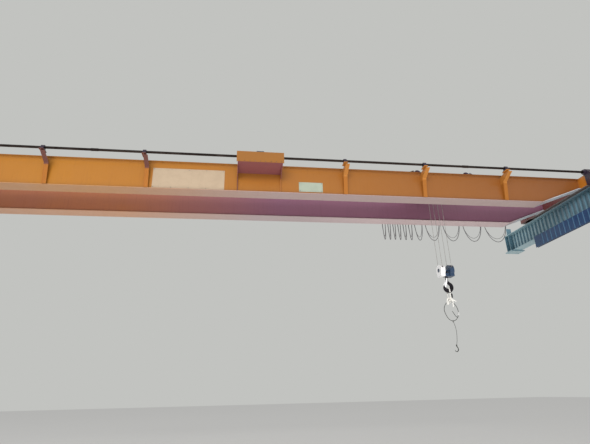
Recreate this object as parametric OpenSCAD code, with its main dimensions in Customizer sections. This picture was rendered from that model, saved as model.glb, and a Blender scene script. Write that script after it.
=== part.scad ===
// Overhead bridge crane: two box girders on end trucks, a crab trolley with a
// rope hoist, a hook block with its sling, and two bays of runway on each side.
// X runs along the span, Y along the runway, Z up. The origin lies on the
// underside of the left runway's middle bearing plate.

/* [Span] */
// Distance between the two runway rails
span = 15000; // [12000:100:20000]
// Distance between the wheel axles of one end truck
truck_base = 2400; // [2000:50:3200]
// Distance between the centres of the two girders
girder_gauge = 1270; // [1200:10:1500]

/* [Runway] */
// Length of one runway bay, from seat to seat
bay = 5000; // [4000:100:6000]
// Depth of the runway beams
beam_h = 500; // [400:10:700]
// Width of the runway beam flanges
beam_w = 260; // [220:5:320]
// Thickness of the runway beam flanges
beam_flange_t = 18; // [12:1:30]
// Thickness of the runway beam web
beam_web_t = 8; // [5:1:16]
// Width of the runway rail bar
rail_w = 50; // [40:1:60]
// Height of the runway rail bar
rail_h = 40; // [30:1:60]
// Thickness of the bearing plates
plate_t = 25; // [16:1:40]
// Length of a bearing plate across the runway
plate_x = 400; // [360:5:500]
// Length of a bearing plate along the runway
plate_y = 300; // [220:5:400]
// Diameter of the anchor bolt holes
anchor_d = 26; // [18:1:33]
// Distance from a bolt hole's centre to the plate's edges
anchor_edge = 45; // [35:1:60]

// Width of a wave in the runway beam's web
web_wave = 135; // [120:5:250]
// Depth of a wave in the runway beam's web
web_wave_h = 44; // [30:2:80]
// Distance of the bridge behind the runway's middle
bridge_y = 2700; // [-3000:50:3000]
// Depth of the conductor duct
duct_h = 290; // [200:10:320]
// Width of the conductor duct
duct_w = 60; // [50:1:80]
// Distance from the duct's rear end to the runway's rear end
duct_short = 1400; // [0:50:3000]

/* [Girders] */
// Full depth of a girder
girder_h = 620; // [500:10:800]
// Width of the girder flanges
flange_w = 320; // [300:5:400]
// Thickness of the girder flanges
flange_t = 12; // [8:1:20]
// Width over the two webs of a girder
box_w = 260; // [220:5:280]
// Thickness of the girder webs
web_t = 6; // [5:1:10]
// Length of the tapered stretch at each girder end
taper_l = 1040; // [900:10:1800]
// Distance from a girder's centre in to its trolley rail
track_in = 120; // [100:5:130]
// Width of the trolley rail bar
track_w = 40; // [30:1:50]
// Height of the trolley rail bar
track_h = 30; // [25:1:40]

/* [End trucks] */
// Width of an end truck
truck_w = 280; // [250:5:320]
// Height of an end truck
truck_h = 250; // [220:5:320]
// Overall length of an end truck without its buffers
truck_l = 2900; // [2700:10:3600]
// Plate thickness of an end truck
truck_t = 10; // [8:1:14]
// Gap between the top of the rail and the underside of a truck
truck_clear = 25; // [15:1:40]
// Tread diameter of a travel wheel
wheel_d = 200; // [180:5:220]
// Axle diameter of a travel wheel
axle_d = 60; // [50:1:75]

/* [Line shaft] */
// Diameter of the line shaft
shaft_d = 50; // [40:1:60]
// Distance of the shaft in front of the girder's front web
shaft_out = 270; // [240:5:320]
// Height of the shaft above the top of the girders
shaft_up = 48; // [40:1:80]
// Width of a shaft bracket's face strip
bracket_w = 85; // [80:1:120]
// Plate thickness of a shaft bracket
bracket_t = 10; // [8:1:14]

/* [Drive platform] */
// Width of the drive platform
platform_w = 900; // [860:10:1000]
// Distance from the girder's web to the platform's front panel
platform_out = 500; // [460:5:560]
// Height of the platform's shelf below the top of the girders
platform_drop = 195; // [185:5:240]
// Height of the front panel
panel_h = 230; // [200:5:260]
// Width of the front panel
panel_w = 940; // [860:10:1000]
// Sheet thickness of the platform
sheet_t = 6; // [4:1:10]
// Diameter of the travel motor
travel_motor_d = 150; // [130:5:160]
// Length of the travel motor's body
travel_motor_l = 250; // [200:10:280]

/* [Trolley] */
// Distance of the trolley's centre from mid-span
trolley_at = 4175; // [0:5:4300]
// Distance between the trolley's axles
trolley_base = 1170; // [1000:10:1300]
// Tread diameter of a trolley wheel
trolley_wheel_d = 140; // [130:5:170]
// Axle diameter of a trolley wheel
trolley_axle_d = 40; // [30:1:50]
// Diameter of the rope drum at the rope's centre
drum_d = 200; // [180:5:205]
// Pitch of the drum's rope grooves
groove_pitch = 14; // [12:1:20]
// Diameter of the hoist rope
rope_d = 10; // [8:1:12]
// Distance between the rope falls along the span
fall_gap = 210; // [206:1:240]

/* [Hook block] */
// Distance from the girders' underside down to the top of the hook block
block_drop = 1267; // [1000:10:1600]
// Height of the hook block
block_h = 266; // [262:1:320]
// Width of the hook block along the span
block_w = 320; // [316:1:360]
// Depth of the hook block across the span
block_l = 250; // [250:2:300]
// Wall of the sheave guards
guard_t = 6; // [4:1:8]
// Inner radius of the hook's bowl
bowl_r = 46; // [42:1:50]
// Thickness of the hook at its thickest place
hook_t = 90; // [80:1:96]
// Diameter of the hook's shank
shank_d = 54; // [44:1:56]

/* [Festoon] */
// Distance of the festoon track behind the rear girder's web
festoon_out = 220; // [180:5:280]
// Height of the festoon track's underside below the top of the girders
festoon_drop = 140; // [120:5:200]
// Diameter of the festoon cable
festoon_d = 16; // [12:1:20]
// Distance from the girders' ends in to the ends of the festoon track
festoon_in = 150; // [100:10:300]
// Depth of the cable's loops below the girders
loop_drop = 334; // [250:2:450]

/* [Hidden] */
// Levels, from the bearing plates up
beam_z0 = plate_t;
beam_top = beam_z0 + beam_h;
rail_top = beam_top + rail_h;
seat = 0.3;
fit = 0.05;
truck_z0 = rail_top + truck_clear;
top_z = truck_z0 + truck_h;
girder_z0 = top_z - girder_h;
web_z0 = girder_z0 + flange_t;
web_z1 = top_z - flange_t;
wheel_z = rail_top + seat + wheel_d / 2;
mid_x = span / 2;
// Girders and trucks
girder_y = girder_gauge / 2;
web_y = girder_y + box_w / 2;
track_y = girder_y - track_in;
girder_l = span - truck_w;
end_z0 = top_z - truck_h;
runway_l = 2 * bay;
bridge_x = [0, span];
// Line shaft
shaft_y = -web_y - shaft_out;
shaft_z = top_z + shaft_up;
bearing_h = 60;
bearing_l = 60;
bearing_d = 2 * shaft_up - 4;
pad_t = 12;
pad_l = 170;
bracket_share = [-0.82, -0.567, -0.310, 0.242, 0.480, 0.736];
bracket_end = girder_l / 2 - taper_l - bracket_w / 2 - 10;
bracket_at = [for (s = bracket_share) max(-bracket_end, min(bracket_end, s * girder_l / 2))];
shelf_z = top_z - platform_drop;
// Trolley
trolley_x = mid_x + trolley_at;
track_top = top_z + track_h;
trolley_wheel_z = track_top + seat + trolley_wheel_d / 2;
frame_z0 = track_top + 10;
frame_h = 70;
frame_top = frame_z0 + frame_h;
frame_w = 100;
frame_t = 8;
frame_l = trolley_base + trolley_wheel_d + 60;
cross_x = 330;
cross_w = 100;
drum_z = frame_top + 65;
fall_y = drum_d / 2;
drum_y = -fall_y - drum_d / 2;
drum_l = 2 * cross_x - cross_w - 20;
sheave_z = frame_top + 10;
sheave_d = drum_d + 30;
// Hook block
block_z1 = girder_z0 - block_drop;
block_z0 = block_z1 - block_h;
block_axle_z = block_z1 - block_l / 2;
guard_w = 96;
hook_drop = 222;
bowl_z = block_z0 - hook_drop;
// Festoon
festoon_y = web_y + festoon_out;
festoon_z = top_z - festoon_drop;
festoon_track_w = 40;
festoon_track_h = 36;
festoon_t = 3;

// Places a piece of the bridge along the runway
module at_bridge() {
    translate([0, bridge_y, 0]) children();
}

// A bar or box centred on X and Y, standing on z
module block_at(x, y, z, size) {
    translate([x - size.x / 2, y - size.y / 2, z]) cube(size);
}

// A cylinder along X, centred on its length
module x_cylinder(d, l, sides = 48) {
    rotate([0, 90, 0]) cylinder(d = d, h = l, center = true, $fn = sides);
}

// A cylinder along Y, centred on its length
module y_cylinder(d, l, sides = 48) {
    rotate([90, 0, 0]) cylinder(d = d, h = l, center = true, $fn = sides);
}

// An outline in X and Z, drawn out along Y and centred on y
module xz_plate(y, t) {
    translate([0, y + t / 2, 0]) rotate([90, 0, 0]) linear_extrude(t) children();
}

// An outline in Y and Z, drawn out along X and centred on x
module yz_plate(x, t) {
    translate([x - t / 2, 0, 0]) rotate([90, 0, 90]) linear_extrude(t) children();
}

// Two round ends joined by their tangents
module belt_outline(a, ra, b, rb) {
    turn = atan2(b.y - a.y, b.x - a.x);
    lean = acos((ra - rb) / norm(b - a));
    translate(a) circle(r = ra, $fn = 64);
    translate(b) circle(r = rb, $fn = 64);
    polygon([a + ra * [cos(turn + lean), sin(turn + lean)],
        b + rb * [cos(turn + lean), sin(turn + lean)],
        b + rb * [cos(turn - lean), sin(turn - lean)],
        a + ra * [cos(turn - lean), sin(turn - lean)]]);
}

function unit(v) = v / norm(v);
function tangent(p, i) = unit(p[min(i + 1, len(p) - 1)] - p[max(i - 1, 0)]);
function ring(p, i, r, side, n) = let (t = tangent(p, i), u = unit(cross(side, t)))
    [for (k = [0 : n - 1]) p[i] + r * (u * cos(360 * k / n) + side * sin(360 * k / n))];

// A round bar swept along a route that lies in the plane square to side
module sweep(p, radii, side = [0, 1, 0], n = 8) {
    count = len(p);
    points = [for (i = [0 : count - 1]) each ring(p, i, radii[i], side, n)];
    walls = [for (i = [0 : count - 2], k = [0 : n - 1]) let (j = (k + 1) % n)
        [(i + 1) * n + k, (i + 1) * n + j, i * n + j, i * n + k]];
    first = [for (k = [0 : n - 1]) k];
    last = [for (k = [n - 1 : -1 : 0]) (count - 1) * n + k];
    polyhedron(points, concat([first], walls, [last]), convexity = 10);
}

function even(p, r) = [for (q = p) r];

// Runway: beams with a web folded into waves, and stiffeners over the seats
seat_rib_t = 16;
end_plate_t = 12;
waves = floor(runway_l / web_wave);
wave_turns = [0.075, 0.425, 0.575, 0.925];
function wave_line(side) = [for (n = [0 : waves - 1], k = [0 : 3])
    [side + (k < 2 ? -1 : 1) * (web_wave_h - beam_web_t) / 2,
        (n + wave_turns[k] - waves / 2) * runway_l / waves]];
function turned(p) = [for (i = [len(p) - 1 : -1 : 0]) p[i]];

module runway_beam(x) {
    web_h = beam_h - 2 * beam_flange_t;
    block_at(x, 0, beam_z0, [beam_w, runway_l, beam_flange_t]);
    block_at(x, 0, beam_top - beam_flange_t, [beam_w, runway_l, beam_flange_t]);
    translate([x, 0, beam_z0 + beam_flange_t]) linear_extrude(web_h)
        polygon(concat(wave_line(beam_web_t / 2), turned(wave_line(-beam_web_t / 2))));
    for (k = [-1 : 1])
        block_at(x, k * (bay - plate_y / 2), beam_z0 + beam_flange_t,
            [beam_w - 30, seat_rib_t, web_h]);
    for (k = [-1, 1])
        block_at(x, k * (bay - end_plate_t / 2), beam_z0, [beam_w, end_plate_t, beam_h]);
}

module left_runway_beam() {
    color([0.16, 0.38, 0.46]) runway_beam(0);
}

module right_runway_beam() {
    color([0.16, 0.38, 0.46]) runway_beam(span);
}

module runway_rails() {
    color([0.35, 0.33, 0.31])
        for (x = bridge_x) block_at(x, 0, beam_top, [rail_w, runway_l, rail_h]);
}

module bearing_plates() {
    dx = plate_x / 2 - anchor_edge;
    dy = plate_y / 2 - anchor_edge;
    color([0.20, 0.33, 0.38])
        for (x = bridge_x, k = [-1 : 1]) {
            y = k * (bay - plate_y / 2);
            translate([x, y, 0]) difference() {
                block_at(0, 0, 0, [plate_x, plate_y, plate_t]);
                for (sx = [-1, 1], sy = [-1, 1])
                    translate([sx * dx, sy * dy, -1])
                        cylinder(d = anchor_d, h = plate_t + 2, $fn = 32);
            }
        }
}

// Duct of the supply line, hung inside the right runway beam
module conductor_duct() {
    x = span - plate_x / 2 - duct_w / 2 - 20;
    t = 4;
    lip = 16;
    hanger_t = 8;
    top = beam_z0 - hanger_t;
    y0 = -runway_l / 2;
    l = runway_l - duct_short;
    hanger_x1 = span - beam_w / 2 + 30;
    color([0.10, 0.20, 0.36]) {
        translate([x, y0 + l, top]) rotate([90, 0, 0]) linear_extrude(l)
            difference() {
                translate([-duct_w / 2, -duct_h]) square([duct_w, duct_h]);
                translate([-duct_w / 2 + t, -duct_h + t]) square([duct_w - 2 * t, duct_h - 2 * t]);
                translate([-duct_w / 2 + lip, -duct_h - 1]) square([duct_w - 2 * lip, t + 2]);
            }
        for (y = [y0 + 500 : 1000 : y0 + l - 100])
            block_at((x - duct_w / 2 + hanger_x1) / 2, y, top,
                [hanger_x1 - x + duct_w / 2, 40, hanger_t]);
    }
}

stop_h = 180;
stop_in = 60;
module runway_stops() {
    color([0.16, 0.38, 0.46])
        for (x = bridge_x, s = [-1, 1]) {
            y = s * (bay - stop_in);
            block_at(x, y, rail_top, [140, 16, stop_h]);
            for (k = [-1, 1])
                yz_plate(x + k * 45, 12)
                    polygon([[y, rail_top], [y - s * 8, rail_top + stop_h],
                        [y + s * 8, rail_top + stop_h], [s * bay, rail_top]]);
        }
}

// Girders: an outline of the bottom edge that rises to the end trucks
function half_l() = girder_l / 2;
function bottom_line(lift) = [
    [mid_x - half_l(), end_z0 + lift], [mid_x - half_l() + 40, end_z0 + lift],
    [mid_x - half_l() + taper_l, girder_z0 + lift],
    [mid_x + half_l() - taper_l, girder_z0 + lift],
    [mid_x + half_l() - 40, end_z0 + lift], [mid_x + half_l(), end_z0 + lift]];

module girder_webs(y) {
    for (s = [-1, 1])
        xz_plate(y + s * (box_w - web_t) / 2, web_t)
            polygon(concat(bottom_line(flange_t),
                [[mid_x + half_l(), web_z1], [mid_x - half_l(), web_z1]]));
}

module girder_bottom_flange(y) {
    xz_plate(y, flange_w)
        polygon(concat(bottom_line(0), turned(bottom_line(flange_t))));
}

module girder_top_flange(y) {
    block_at(mid_x, y, web_z1, [girder_l, flange_w, flange_t]);
}

module front_girder_webs() {
    color([0.80, 0.50, 0.20]) at_bridge() girder_webs(-girder_y);
}

module front_girder_top_flange() {
    color([0.80, 0.50, 0.20]) at_bridge() girder_top_flange(-girder_y);
}

module front_girder_bottom_flange() {
    color([0.80, 0.50, 0.20]) at_bridge() girder_bottom_flange(-girder_y);
}

module rear_girder_webs() {
    color([0.76, 0.46, 0.20]) at_bridge() girder_webs(girder_y);
}

module rear_girder_top_flange() {
    color([0.76, 0.46, 0.20]) at_bridge() girder_top_flange(girder_y);
}

module rear_girder_bottom_flange() {
    color([0.76, 0.46, 0.20]) at_bridge() girder_bottom_flange(girder_y);
}

track_l = girder_l - 100;
module trolley_rails() {
    color([0.35, 0.33, 0.31]) at_bridge()
        for (s = [-1, 1]) block_at(mid_x, s * track_y, top_z, [track_l, track_w, track_h]);
}

// The left stops stand further in, because the tow arm reaches past the trolley
stop_at = [350 - half_l(), half_l() - 90];
module trolley_stops() {
    color([0.22, 0.17, 0.16]) at_bridge()
        for (x = stop_at, s = [-1, 1])
            block_at(mid_x + x, s * track_y, track_top, [40, 80, 105]);
}

// End trucks
axle_y = truck_base / 2;
boss_t = 20;
boss_d = axle_d + 70;
module end_truck(x) {
    inner_w = truck_w - 2 * truck_t;
    inner_h = truck_h - 2 * truck_t;
    slot_l = wheel_d + 60;
    end_gap = truck_l / 2 - 20;
    difference() {
        union() {
            block_at(x, 0, truck_z0, [truck_w, truck_l, truck_h]);
            for (sx = [-1, 1], sy = [-1, 1])
                translate([x + sx * (truck_w + boss_t) / 2, sy * axle_y, wheel_z])
                    x_cylinder(boss_d, boss_t);
        }
        block_at(x, 0, truck_z0 + truck_t, [inner_w, 2 * end_gap, inner_h]);
        for (sy = [-1, 1]) {
            block_at(x, sy * axle_y, truck_z0 - 60, [inner_w, slot_l, 80]);
            translate([x, sy * axle_y, wheel_z])
                x_cylinder(axle_d + 2 * fit, truck_w + 60);
        }
    }
}

module left_end_truck() {
    color([0.82, 0.52, 0.20]) at_bridge() end_truck(0);
}

module right_end_truck() {
    color([0.82, 0.52, 0.20]) at_bridge() end_truck(span);
}

buffer_l = 100;
module truck_buffers() {
    color([0.10, 0.10, 0.10]) at_bridge()
        for (x = bridge_x, s = [-1, 1])
            translate([x, s * (truck_l / 2 + buffer_l / 2), truck_z0 + 110])
                y_cylinder(110, buffer_l);
}

// A flanged wheel with its axle, centred on the axle line along X
module wheel(d, tread, axle, axle_l, hub) {
    x_cylinder(d, tread);
    for (s = [-1, 1]) {
        translate([s * (tread / 2 + 8), 0, 0]) x_cylinder(d + 30, 16);
        translate([s * (tread / 2 + 20), 0, 0]) x_cylinder(hub, 40);
    }
    x_cylinder(axle, axle_l);
}

wheel_tread = rail_w + 14;
axle_l = truck_w + 60;
module front_travel_wheels() {
    color([0.28, 0.24, 0.23]) at_bridge()
        for (x = bridge_x) translate([x, -axle_y, wheel_z]) {
            out = x > mid_x ? 1 : -1;
            stub_l = case_x + case_t / 2 - 2 * case_wall;
            wheel(wheel_d, wheel_tread, axle_d, axle_l, axle_d + 50);
            translate([out * stub_l / 2, 0, 0]) x_cylinder(axle_d, stub_l);
        }
}

module rear_travel_wheels() {
    color([0.28, 0.24, 0.23]) at_bridge()
        for (x = bridge_x) translate([x, axle_y, wheel_z])
            wheel(wheel_d, wheel_tread, axle_d, axle_l, axle_d + 50);
}

// Line shaft and what carries it
case_t = 90;
case_wall = 12;
case_x = truck_w / 2 + boss_t + case_t / 2;
coupling_l = 150;
shaft_l = span + 2 * case_x - 20;
module line_shaft() {
    color([0.16, 0.13, 0.13]) at_bridge() {
        translate([mid_x, shaft_y, shaft_z]) x_cylinder(shaft_d, shaft_l);
        for (x = [(bracket_at[1] + bracket_at[2]) / 2, (bracket_at[4] + bracket_at[5]) / 2])
            translate([mid_x + x, shaft_y, shaft_z]) {
                x_cylinder(shaft_d + 34, coupling_l);
                for (s = [-1, 1]) translate([s * 8, 0, 0]) x_cylinder(shaft_d + 80, 14);
            }
    }
}

knee_z = shelf_z + 5;
bracket_foot = 45;
bracket_knee = 115;
pad_z = shaft_z - bearing_h;
function bracket_edge(inset) = [
    [-web_y - bracket_foot + inset, girder_z0 + flange_t],
    [-web_y - bracket_knee + inset, knee_z + inset / 2],
    [shaft_y - pad_l / 2, pad_z - pad_t - 40 + inset]];

module shaft_bracket(x) {
    yz_plate(x, bracket_t)
        polygon([[-web_y, web_z0], bracket_edge(0)[0], bracket_edge(0)[1], bracket_edge(0)[2],
            [shaft_y - pad_l / 2, pad_z - pad_t], [shaft_y + pad_l / 2 + 10, pad_z - pad_t],
            [-web_y, web_z1 - 60]]);
    yz_plate(x + (bracket_w - bracket_t) / 2, bracket_w)
        polygon(concat(bracket_edge(0), turned(bracket_edge(8))));
    block_at(x, shaft_y, pad_z - pad_t, [bracket_w, pad_l, pad_t]);
}

module shaft_brackets() {
    color([0.84, 0.56, 0.20]) at_bridge()
        for (x = bracket_at) shaft_bracket(mid_x + x);
}

module bearing(x, base_z) {
    translate([x, shaft_y, 0]) difference() {
        union() {
            block_at(0, 0, base_z, [bearing_l, 150, 22]);
            translate([0, 0, shaft_z]) x_cylinder(bearing_d, bearing_l);
            block_at(0, 0, base_z, [bearing_l, bearing_d, shaft_z - base_z]);
        }
        translate([0, 0, shaft_z]) x_cylinder(shaft_d + 2 * fit, bearing_l + 2);
    }
}

module shaft_bearings() {
    color([0.14, 0.12, 0.14]) at_bridge()
        for (x = bracket_at) bearing(mid_x + x, pad_z);
}

// Cases of the travel gears: a head on each truck's top and a case on its outer face
head_d = 140;
head_l = truck_w + 2 * boss_t;
case_r_shaft = 110;
case_r_axle = 140;
collar_l = 40;
module gear_case(x, out) {
    bore_end = case_x + case_t / 2 - case_wall;
    difference() {
        union() {
            translate([x + out * case_x, 0, 0]) rotate([90, 0, 90])
                translate([0, 0, -case_t / 2]) linear_extrude(case_t) case_outline();
            difference() {
                translate([x, shaft_y, shaft_z]) x_cylinder(head_d, head_l, 64);
                block_at(x, shaft_y, top_z - head_d, [head_l + 2, head_d + 2, head_d]);
            }
            translate([x + out * (case_x + case_t / 2 + 5), shaft_y, shaft_z]) x_cylinder(150, 10);
            translate([x + out * (case_x + case_t / 2 + 5), -axle_y, wheel_z]) x_cylinder(170, 10);
            translate([x - out * (head_l + collar_l) / 2, shaft_y, shaft_z]) x_cylinder(110, collar_l);
            yz_plate(x - out * (truck_w + boss_t) / 2, boss_t) cover_outline();
        }
        translate([x + out * (bore_end - head_l / 2 - collar_l - 1) / 2, shaft_y, shaft_z])
            x_cylinder(shaft_d + 2 * fit, bore_end + head_l / 2 + collar_l + 1);
        translate([x + out * (case_x - case_wall), -axle_y, wheel_z])
            x_cylinder(axle_d + 2 * fit, case_t);
    }
}

// The outer case's face, from the shaft down to the wheel's axle
module case_outline() {
    belt_outline([shaft_y, shaft_z], case_r_shaft, [-axle_y, wheel_z], case_r_axle);
}

// The cover on the truck's inner face, open round the wheel's boss
module cover_outline() {
    corner = 30;
    low = truck_z0 - 30;
    difference() {
        union() {
            belt_outline([shaft_y, shaft_z], head_d / 2, [-axle_y, wheel_z], boss_d / 2 + 20);
            translate([-axle_y - 150, low]) offset(r = corner, $fn = 48) translate([corner, corner])
                square([340 - 2 * corner, truck_h - 2 * corner]);
        }
        translate([-axle_y, wheel_z]) circle(d = boss_d + 2 * seat, $fn = 64);
    }
}

module gear_cases() {
    color([0.16, 0.13, 0.18]) at_bridge() {
        gear_case(0, -1);
        gear_case(span, 1);
    }
}

// A motor along X: flange, ribbed body, fan cowl and terminal box
module motor(d, l) {
    translate([d * 0.06, 0, 0]) x_cylinder(d * 1.2, d * 0.12);
    rotate([0, 90, 0]) linear_extrude(l) motor_outline(d);
    translate([l + d * 0.15, 0, 0]) x_cylinder(d * 1.04, d * 0.3);
    block_at(l * 0.45, 0, 0, [d * 0.6, d * 0.5, d * 0.68]);
}

module motor_outline(d) {
    circle(d = d * 0.86, $fn = 48);
    for (k = [0 : 17]) rotate(k * 20) translate([0, -d * 0.012]) square([d / 2, d * 0.024]);
}

// Drive platform at mid-span
module drive_platform() {
    y1 = -web_y;
    y0 = -web_y - platform_out;
    color([0.80, 0.50, 0.20]) at_bridge() {
        block_at(mid_x, (y0 + y1) / 2, shelf_z, [platform_w, platform_out, sheet_t]);
        for (s = [-1, 1]) {
            yz_plate(mid_x + s * (platform_w / 2 - 5), 10)
                polygon([[y0 + 10, shelf_z], [y1, shelf_z], [y1, shelf_z - 140]]);
            yz_plate(mid_x + s * (platform_w / 2 - 5), 10)
                polygon([[y1 - 60, shelf_z], [y1, shelf_z], [y1, web_z0], [y1 - 30, web_z0]]);
        }
    }
}

module platform_front_panel() {
    color([0.82, 0.54, 0.20]) at_bridge()
        block_at(mid_x, -web_y - platform_out - sheet_t / 2, shelf_z,
            [panel_w, sheet_t, panel_h]);
}

gearbox_y0 = shaft_y - 100;
gearbox_y1 = shaft_y + 190;
gearbox_w = 150;
motor_y = shaft_y + 120;
motor_z = shelf_z + sheet_t + 125;
module travel_gearbox() {
    h = shaft_z + 85 - shelf_z - sheet_t;
    color([0.22, 0.24, 0.28]) at_bridge()
        difference() {
            union() {
                translate([mid_x, (gearbox_y0 + gearbox_y1) / 2, 0])
                    block_at(0, 0, shelf_z + sheet_t,
                        [gearbox_w, gearbox_y1 - gearbox_y0, h]);
                translate([mid_x, shaft_y, shaft_z]) x_cylinder(shaft_d + 60, 190);
            }
            translate([mid_x, shaft_y, shaft_z]) x_cylinder(shaft_d + 2 * fit, 200);
        }
}

module travel_motor() {
    color([0.24, 0.28, 0.34]) at_bridge()
        translate([mid_x + gearbox_w / 2, motor_y, motor_z])
            motor(travel_motor_d, travel_motor_l);
}

// Festoon: a C track on arms behind the rear girder, carriers and the cable
festoon_l = girder_l - 2 * festoon_in;
festoon_arm_at = [for (i = [-3 : 3]) i * festoon_l / 7];
module festoon_track() {
    w = festoon_track_w;
    h = festoon_track_h;
    slot = 14;
    color([0.62, 0.62, 0.60]) at_bridge()
        translate([mid_x, festoon_y, festoon_z])
            rotate([90, 0, 90]) translate([0, 0, -festoon_l / 2]) linear_extrude(festoon_l)
                difference() {
                    translate([-w / 2, 0]) square([w, h]);
                    translate([-w / 2 + festoon_t, festoon_t])
                        square([w - 2 * festoon_t, h - 2 * festoon_t]);
                    translate([-slot / 2, -1]) square([slot, festoon_t + 2]);
                }
    color([0.76, 0.46, 0.20]) at_bridge()
        for (x = festoon_arm_at)
            translate([mid_x + x, 0, festoon_z + festoon_track_h]) {
                block_at(0, (web_y + festoon_y) / 2 + 15, 0, [40, festoon_out + 30, 6]);
                block_at(-17, (web_y + festoon_y) / 2 + 15, 0, [6, festoon_out + 30, 40]);
            }
}

// Carrier places along the track, from mid-span as shares of half its length
carrier_share = [0.438, 0.458, 0.476, 0.494, 0.513, 0.533, 0.555, 0.594, 0.659, 0.735, 0.818,
    0.915];
carrier_at = [for (s = carrier_share) s * festoon_l / 2];
saddle_d = 48;
saddle_w = 30;
saddle_z = festoon_z - 70;
wheel_axle_z = festoon_z + festoon_t + 9.3;
yoke_z = saddle_z + saddle_d / 2 + festoon_d + 4;
yoke_t = 6;
cheek_t = 3;

// A carrier: two small wheels, a neck through the track's slot, and a yoke round its saddle
module festoon_carrier(x) {
    translate([mid_x + x, festoon_y, 0]) {
        for (s = [-1, 1]) translate([0, s * 9, wheel_axle_z]) y_cylinder(18, 7, 24);
        translate([0, 0, wheel_axle_z]) y_cylinder(8, 24, 24);
        block_at(0, 0, yoke_z + yoke_t, [24, 5, wheel_axle_z - yoke_z - yoke_t]);
        block_at(0, 0, yoke_z, [30, saddle_w + 2 * cheek_t, yoke_t]);
        for (s = [-1, 1])
            xz_plate(s * (saddle_w + cheek_t) / 2, cheek_t) {
                translate([0, saddle_z]) circle(d = 30, $fn = 32);
                translate([-15, saddle_z]) square([30, yoke_z - saddle_z]);
            }
        difference() {
            translate([0, 0, saddle_z]) y_cylinder(saddle_d, saddle_w);
            block_at(0, 0, saddle_z - saddle_d, [saddle_d + 2, saddle_w + 2, saddle_d - 8]);
        }
    }
}

module festoon_carriers() {
    color([0.30, 0.30, 0.32]) at_bridge() for (x = carrier_at) festoon_carrier(x);
}

// The cable lies over each saddle in an arc and hangs between them in loops
arc_steps = 6;
lay_r = (saddle_d + festoon_d) / 2 / cos(90 / arc_steps) + seat;
loop_low = girder_z0 - loop_drop;
loop_steps = 8;
function over_saddle(x, t) = [mid_x + x - lay_r * cos(180 * t), festoon_y,
    saddle_z + lay_r * sin(180 * t)];
function loop_point(x0, x1, t) = [mid_x + x0 + (x1 - x0) * (0.5 - 0.5 * cos(180 * t)),
    festoon_y, saddle_z - (saddle_z - loop_low) * pow(sin(180 * t), 0.8)];
function festoon_route() = [for (i = [0 : len(carrier_at) - 1]) each concat(
    [for (k = [0 : arc_steps]) over_saddle(carrier_at[i], k / arc_steps)],
    i == len(carrier_at) - 1 ? [] : [for (k = [1 : loop_steps - 1])
        loop_point(carrier_at[i] + lay_r, carrier_at[i + 1] - lay_r, k / loop_steps)])];
module festoon_cable() {
    route = festoon_route();
    color([0.12, 0.12, 0.13]) at_bridge() sweep(route, even(route, festoon_d / 2), n = 6);
}

// Trolley
module trolley_frame() {
    color([0.30, 0.22, 0.26]) at_bridge()
        translate([trolley_x, 0, 0]) {
            for (s = [-1, 1]) translate([0, s * track_y, 0]) side_beam();
            for (k = [-1, 1])
                block_at(k * cross_x, 0, frame_z0, [cross_w, 2 * track_y - frame_w, frame_h]);
            for (s = [-1, 1]) difference() {
                xz_plate(fall_y + s * 32, 10) {
                    translate([cross_w / 2 - cross_x, frame_z0 + 20])
                        square([2 * cross_x - cross_w, frame_h - 20]);
                    translate([0, sheave_z]) circle(d = 70, $fn = 48);
                }
                translate([0, fall_y, sheave_z]) y_cylinder(36, 100);
            }
            block_at(-cross_x / 2 - fall_gap / 4 + 10, -fall_y, frame_z0,
                [cross_x - fall_gap / 2 + 20, 36, 36]);
        }
}

// A box beam that holds two wheels, with a boss round each axle and a plate at each end
module side_beam() {
    inner_w = frame_w - 2 * frame_t;
    difference() {
        union() {
            block_at(0, 0, frame_z0, [frame_l, frame_w, frame_h]);
            for (k = [-1, 1]) {
                translate([k * trolley_base / 2, 0, trolley_wheel_z])
                    y_cylinder(trolley_axle_d + 36, frame_w);
                block_at(k * (frame_l / 2 - 6), 0, frame_z0, [12, frame_w, 120]);
            }
        }
        block_at(0, 0, frame_z0 - 1, [frame_l - 2 * frame_t, inner_w, frame_h - frame_t + 1]);
        for (k = [-1, 1]) translate([k * trolley_base / 2, 0, 0]) {
            block_at(0, 0, frame_z0, [trolley_wheel_d + 50, inner_w, 200]);
            translate([0, 0, trolley_wheel_z]) y_cylinder(trolley_axle_d + 2 * fit, frame_w + 2);
        }
    }
}

trolley_buffer_z = frame_z0 + 75;
module trolley_buffers() {
    color([0.10, 0.10, 0.10]) at_bridge()
        for (sx = [-1, 1], sy = [-1, 1])
            translate([trolley_x + sx * (frame_l / 2 + 35), sy * track_y, trolley_buffer_z])
                x_cylinder(80, 70, 32);
}

trolley_tread = track_w + 12;
cross_shaft_d = trolley_axle_d - 6;
module trolley_wheel(y) {
    translate([0, y, trolley_wheel_z]) {
        y_cylinder(trolley_wheel_d, trolley_tread);
        for (s = [-1, 1]) translate([0, s * (trolley_tread / 2 + 4), 0])
            y_cylinder(trolley_wheel_d + 20, 8);
        y_cylinder(trolley_axle_d, frame_w + 30);
    }
}

module driven_trolley_wheels() {
    color([0.32, 0.22, 0.34]) at_bridge()
        translate([trolley_x - trolley_base / 2, 0, 0]) {
            for (s = [-1, 1]) trolley_wheel(s * track_y);
            translate([0, 0, trolley_wheel_z]) y_cylinder(cross_shaft_d, 2 * track_y);
        }
}

module idle_trolley_wheels() {
    color([0.32, 0.22, 0.34]) at_bridge()
        translate([trolley_x + trolley_base / 2, 0, 0])
            for (s = [-1, 1]) trolley_wheel(s * track_y);
}

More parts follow.
